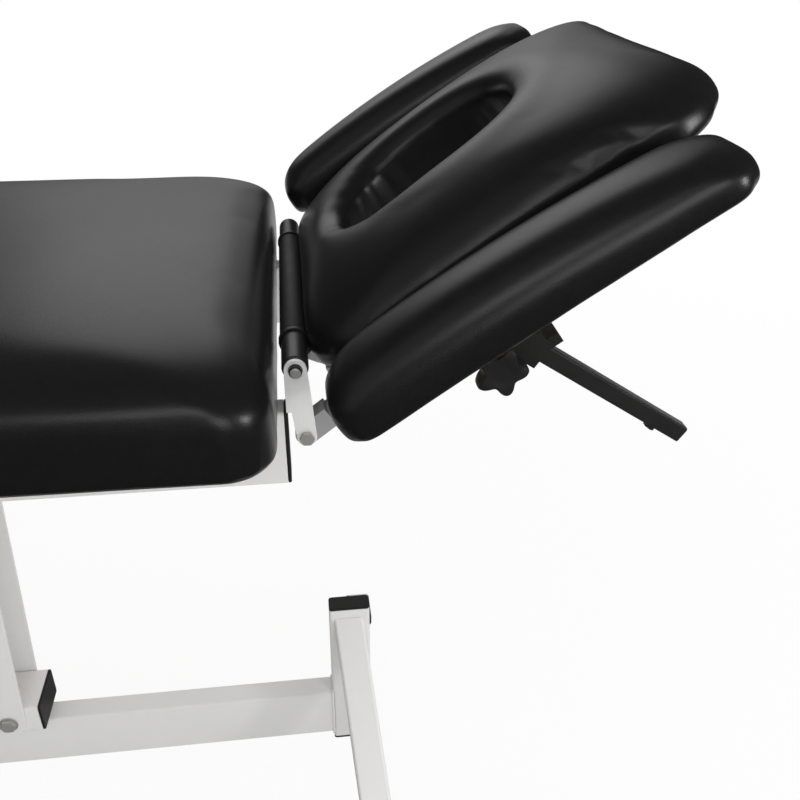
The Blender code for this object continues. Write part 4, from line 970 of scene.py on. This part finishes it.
# %% [markdown]
# Open tube ends are closed with pressed-in plastic plugs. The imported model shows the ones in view; the
# others, on the rails' foot ends, the head tubes, under the posts and behind the pivot blocks, are
# added here. A plug is a rounded lid a few millimetres thick with softened edges. Two painted plates of
# the same form close the ends of the base tube.

# %% Tube plugs
PLUG_CORNER = 0.004
END_PLATE = 0.0041
TUBE_WALL = 0.0027
HEAD_TUBE_END = (0.398, 0.155, -0.0453)
HEAD_TUBE_HALF = 0.015
PLUG_GAP = 0.0002
PLUG_STEPS = [(0.0, 0.0), (0.0026, 0.0), (0.0033, 0.0004), (0.0036, 0.0012)]


def plug(name, centre, outward, across, half_a, half_b, body, slot="black_plastic"):
    """A lid on a tube end; across is the direction of its first half size."""
    outward = Vector(outward).normalized()
    across = Vector(across).normalized()
    up = outward.cross(across)
    rings = []
    for distance, inset in PLUG_STEPS:
        outline = rounded_loop(half_a - inset, half_b - inset, PLUG_CORNER - inset / 2, 0.0015)
        base = Vector(centre) + outward * (PLUG_GAP + distance)
        rings.append([base + across * a + up * b for a, b in outline])
    count = min(len(ring) for ring in rings)
    rings = [[ring[round(step * len(ring) / count) % len(ring)] for step in range(count)] for ring in rings]
    return skin(name, rings, slot, body, width=0.0)


tube_u, tube_v, tube_w = HEAD_TUBE_END
for side, sign in (("near", -1), ("far", 1)):
    low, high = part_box(side + "_rail")
    middle = (low + high) / 2
    plug(side + "_rail_foot_plug", (low.x, middle.y, middle.z), (-1, 0, 0), (0, 1, 0), (high.y - low.y) / 2,
         (high.z - low.z) / 2, "top_frame")
    tube_end = head_place @ Vector((tube_u, sign * tube_v, tube_w))
    plug(side + "_head_tube_plug", tube_end, head_place.to_3x3() @ Vector((1, 0, 0)), (0, 1, 0),
         HEAD_TUBE_HALF, HEAD_TUBE_HALF, "head_frame")
for end in ("head", "foot"):
    low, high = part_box(end + "_pivot_block")
    middle = (low + high) / 2
    plug(end + "_block_rear_plug", (low.x, 0.0, middle.z), (-1, 0, 0), (0, 1, 0), (high.y - low.y) / 2,
         (high.z - low.z) / 2, "base")
    low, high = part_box(end + "_post")
    middle = (low + high) / 2
    plug(end + "_post_bottom_plug", (middle.x, 0.0, low.z), (0, 0, -1), (1, 0, 0), (high.x - low.x) / 2,
         (high.y - low.y) / 2, "base")
tube_low, tube_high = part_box("base_tube")
for end, x, outward in (("head", tube_high.x - END_PLATE, 1), ("foot", tube_low.x + END_PLATE, -1)):
    plug(end + "_base_end_plate", (x, 0.0, (tube_low.z + tube_high.z) / 2), (outward, 0, 0), (0, 1, 0),
         tube_high.y - TUBE_WALL, (tube_high.z - tube_low.z) / 2 - TUBE_WALL, "base", "frame_paint")
print("tube plugs added")

# %% [markdown]
# The frame is welded before it is coated, so every seam shows a small rippled bead under the paint. A
# bead is a thin tube along the seam whose radius rises and falls once for each drop of the weld.

# %% Weld beads
BEAD_RADIUS = 0.0019
DROP_LENGTH = 0.0042
CROSS_HALF = 0.020
CROSS_DEEP = 0.040


def bead(name, corners, body, closed=True):
    """A rippled weld bead along straight seams between corner points."""
    corners = [Vector(corner) for corner in corners]
    legs = list(zip(corners, corners[1:] + corners[:1])) if closed else list(zip(corners, corners[1:]))
    track = []
    for start, end in legs:
        pieces = max(2, round((end - start).length / (DROP_LENGTH / 4)))
        track += [start.lerp(end, step / pieces) for step in range(pieces)]
    if not closed:
        track.append(corners[-1])
    rings = []
    for step, spot in enumerate(track):
        after = track[(step + 1) % len(track)] if closed else track[min(step + 1, len(track) - 1)]
        before = track[step - 1] if closed else track[max(step - 1, 0)]
        swell = BEAD_RADIUS * (0.85 + 0.15 * math.cos(step * math.pi / 2) + 0.06 * math.sin(step * 0.37))
        rings.append(ring_of(axis_place(spot, after - before), 0.0, swell, 8))
    return skin(name, rings, "frame_paint", body, closed=closed, width=0.0)


for end, x in (("head", tube_high.x), ("foot", tube_low.x)):
    half = tube_high.y
    bead(end + "_post_weld", [(x, -half, tube_low.z), (x, -half, tube_high.z), (x, half, tube_high.z),
                              (x, half, tube_low.z)], "base")
    low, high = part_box(end + "_pivot_block")
    for word, y in (("near", -half), ("far", half)):
        bead(end + "_block_weld_" + word, [(low.x, y, low.z), (high.x, y, low.z)], "base", closed=False)
for cross in ("front", "head", "foot"):
    low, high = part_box(cross + "_cross_tube")
    top = high.z
    left = (low.x + high.x) / 2 - CROSS_HALF
    right = (low.x + high.x) / 2 + CROSS_HALF
    for word, y in (("near", low.y), ("far", high.y)):
        corners = [(left, y, top - CROSS_DEEP), (left, y, top),
                   (right, y, top), (right, y, top - CROSS_DEEP)]
        bead(cross + "_cross_weld_" + word, corners, "top_frame")
print("weld beads added")

# %% [markdown]
# Small fittings finish the moving parts: bright ends and a dark sleeve on the hinge shaft, an end
# fitting, a seam and a guide ring on the gas spring, and clamping bands round the lifting drive. They
# are turned about the axes of the record's joints. Rings on the spring and the drive are bored, so that
# the rods can slide through them.

# %% Fittings on the hinge, spring and drive
PIN_PROFILE = [(0.0001, 0.0050), (0.0006, 0.0050), (0.0011, 0.0044), (0.0013, 0.0030)]
SLEEVE_HALF = 0.1335
SLEEVE_RADIUS = 0.0136
SLEEVE_RIM = 0.0127
SLEEVE_ROUND = 0.0008
SPRING_RIM = 0.0106
SPRING_BORE = 0.0098
SPRING_RINGS = {"end_fitting": ("housing_grey", 0.0115, (0.0301, 0.0306, 0.0432, 0.0438)),
                "seam": ("black_plastic", 0.0110, (0.0440, 0.0443, 0.0461, 0.0464)),
                "guide": ("black_plastic", 0.0112, (0.1670, 0.1674, 0.1714, 0.1718))}
BAND_PLACES = {"low": 0.150, "middle": 0.215, "top": 0.280}
BAND_PROFILE = [(0.0, 0.0205), (0.0003, 0.0219), (0.0067, 0.0219), (0.0070, 0.0205)]
BAND_BORE = 0.0195

joints = {joint["name"]: joint for joint in frame["joints"]}
shaft_low, shaft_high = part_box("hinge_shaft")
for word, y, outward in (("near", shaft_low.y, -1.0), ("far", shaft_high.y, 1.0)):
    turned(word + "_pin_end", (HINGE.x, y, HINGE.z), (0.0, outward, 0.0), PIN_PROFILE, "zinc_steel",
           "top_frame")
sleeve_end = 2 * SLEEVE_HALF
turned("hinge_sleeve", (HINGE.x, -SLEEVE_HALF, HINGE.z), (0.0, 1.0, 0.0),
       [(0.0, SLEEVE_RIM), (SLEEVE_ROUND, SLEEVE_RADIUS), (sleeve_end - SLEEVE_ROUND, SLEEVE_RADIUS),
        (sleeve_end, SLEEVE_RIM)], "black_plastic", "top_frame", 40)

spring_start = Vector(joints["gas_spring_swing"]["pos_m"])
spring_ahead = Vector(joints["gas_spring_stroke"]["axis"])
for word, (slot, radius, distances) in SPRING_RINGS.items():
    profile = list(zip(distances, (SPRING_RIM, radius, radius, SPRING_RIM)))
    turned("gas_spring_" + word, spring_start, spring_ahead, profile, slot, "gas_spring_barrel",
           bore=SPRING_BORE)

drive_start = Vector(joints["actuator_swing"]["pos_m"])
drive_ahead = Vector(joints["actuator_stroke"]["axis"])
for word, along in BAND_PLACES.items():
    profile = [(along + distance, radius) for distance, radius in BAND_PROFILE]
    turned("drive_band_" + word, drive_start, drive_ahead, profile, "black_plastic", "actuator_barrel", 48,
           bore=BAND_BORE)
print("fittings added")

# %% [markdown]
# The table stands on a sheet of pale paper. The paper keeps a faint shadow near the legs and turns
# fully white further out, so that no horizon shows. In mirrored light the paper in front is dark, which
# leaves the near sides of the cushions black. A light path node tells the two kinds of rays apart.

# %% Studio floor
FLOOR_SIZE = 14.0
FLOOR_PALE = (0.86, 0.86, 0.86)
FLOOR_WHITENESS = 0.90
FLOOR_FADE = (0.9, 3.2)
DARK_IN_FRONT = (-0.2, 0.9, 0.95, 0.0)


def ramp(wire, value, low, high, first, last):
    """A smooth change from the first number to the last while the value runs from low to high."""
    sockets = {0: value, 1: low, 2: high, 3: first, 4: last}
    return wire.node("ShaderNodeMapRange", {"interpolation_type": "SMOOTHSTEP"}, sockets)


corner = FLOOR_SIZE / 2
floor_mesh = bpy.data.meshes.new("studio_floor")
floor_corners = [(-corner, -corner, 0), (corner, -corner, 0), (corner, corner, 0), (-corner, corner, 0)]
floor_mesh.from_pydata(floor_corners, [], [(0, 1, 2, 3)])
floor = placed("studio_floor", floor_mesh)
floor_paper, shader, wire = new_finish("floor_paper", FLOOR_PALE, 0.7)
path = wire.tree.nodes.new("ShaderNodeLightPath")
seen = Wire(wire.tree, path.outputs["Is Camera Ray"])
mirrored = Wire(wire.tree, path.outputs["Is Glossy Ray"])
depth = wire.node("ShaderNodeSeparateXYZ", None, {0: surface_place(wire)}, out="Y")
white = wire.node("ShaderNodeEmission", None, {"Color": (1.0, 1.0, 1.0, 1.0), "Strength": 1.0})
black = wire.node("ShaderNodeEmission", None, {"Color": (0.0, 0.0, 0.0, 1.0), "Strength": 0.0})
dim = mirrored * ramp(wire, depth, *DARK_IN_FRONT)
paper = wire.node("ShaderNodeMixShader", None, {0: dim, 1: Wire(wire.tree, shader.outputs[0]), 2: black})
away = vectors(wire, "LENGTH", surface_place(wire), out="Value")
whiteness = seen * ramp(wire, away, *FLOOR_FADE, FLOOR_WHITENESS, 1.0)
mixed = wire.node("ShaderNodeMixShader", None, {0: whiteness, 1: paper, 2: white})
wire.tree.links.new(mixed.socket, wire.tree.nodes["Material Output"].inputs["Surface"])
floor_mesh.materials.append(floor_paper)
print("floor laid")

# %% [markdown]
# Black leather shows mostly what it mirrors, so the room matters more than the lamps. In mirrored light
# it is dark but for two lit walls, one behind the table and a weaker one in front on the left. They
# draw bright rims along the far edges. Daylight, which only scatters, is stronger from above and from
# the right, and the camera sees plain white.

# %% Studio walls and daylight
LIT_WALLS = ((Vector((-0.03, 0.94, 0.33)), (0.89, 0.97, 0.04, 0.47)),
             (Vector((-0.80, -0.45, 0.40)), (0.72, 0.97, 0.0, 0.26)))
DAY_FROM_ABOVE = (-0.3, 0.9, 0.40, 1.10)
DAY_FROM_RIGHT = (-0.9, 0.3, 0.45, 1.0)

world = bpy.data.worlds.new("studio")
world.use_nodes = True
scene.world = world
wire = Wire(world.node_tree)
way = wire.node("ShaderNodeTexCoord", out="Generated")
walls = []
for direction, rise in LIT_WALLS:
    facing = vectors(wire, "DOT_PRODUCT", way, direction.normalized(), out="Value")
    walls.append(ramp(wire, facing, *rise))
path = wire.tree.nodes.new("ShaderNodeLightPath")
to_camera = Wire(wire.tree, path.outputs["Is Camera Ray"])
to_glass = Wire(wire.tree, path.outputs["Is Transmission Ray"])
to_gloss = Wire(wire.tree, path.outputs["Is Glossy Ray"]) + to_glass
parts = wire.tree.nodes.new("ShaderNodeSeparateXYZ")
wire.tree.links.new(way.socket, parts.inputs[0])
from_above = ramp(wire, Wire(wire.tree, parts.outputs["Z"]), *DAY_FROM_ABOVE)
from_right = ramp(wire, Wire(wire.tree, parts.outputs["X"]), *DAY_FROM_RIGHT)
daylight = (1.0 - to_camera) * (1.0 - to_gloss) * from_above * from_right
level = to_camera + to_gloss * (walls[0] + walls[1]) + daylight
backdrop = world.node_tree.nodes["Background"]
wire.tree.links.new(level.socket, backdrop.inputs["Strength"])
backdrop.inputs["Color"].default_value = (1.0, 1.0, 1.0, 1.0)
print("walls and daylight set")

# %% [markdown]
# Four soft lamps finish the studio: a large one over the far side, a weak one in front on the left, a
# small one on the right that lights the legs and the cushions' ends, and a broad fill in front. Square
# area lamps are used, because their edges blur in the leather.

# %% Lamps
def soft_lamp(name, place, aim, size, power):
    """A square area lamp turned towards a point."""
    lamp = bpy.data.lights.new(name, "AREA")
    lamp.size = size
    lamp.energy = power
    made = placed(name, lamp)
    made.location = place
    made.rotation_euler = (Vector(aim) - Vector(place)).to_track_quat("-Z", "Y").to_euler()


soft_lamp("over_far_side", (0.2, 2.6, 2.6), aim=(0.3, 0.0, 0.8), size=1.6, power=7.0)
soft_lamp("front_left", (0.15, -1.8, 1.95), aim=(0.6, -0.2, 0.9), size=0.5, power=2.5)
soft_lamp("right_side", (2.35, -1.38, 1.33), aim=(0.5, -0.3, 0.85), size=0.35, power=10.0)
soft_lamp("front_fill", (1.0, -2.4, 1.4), aim=(0.3, 0.0, 0.6), size=0.9, power=7.0)
print("studio lit")
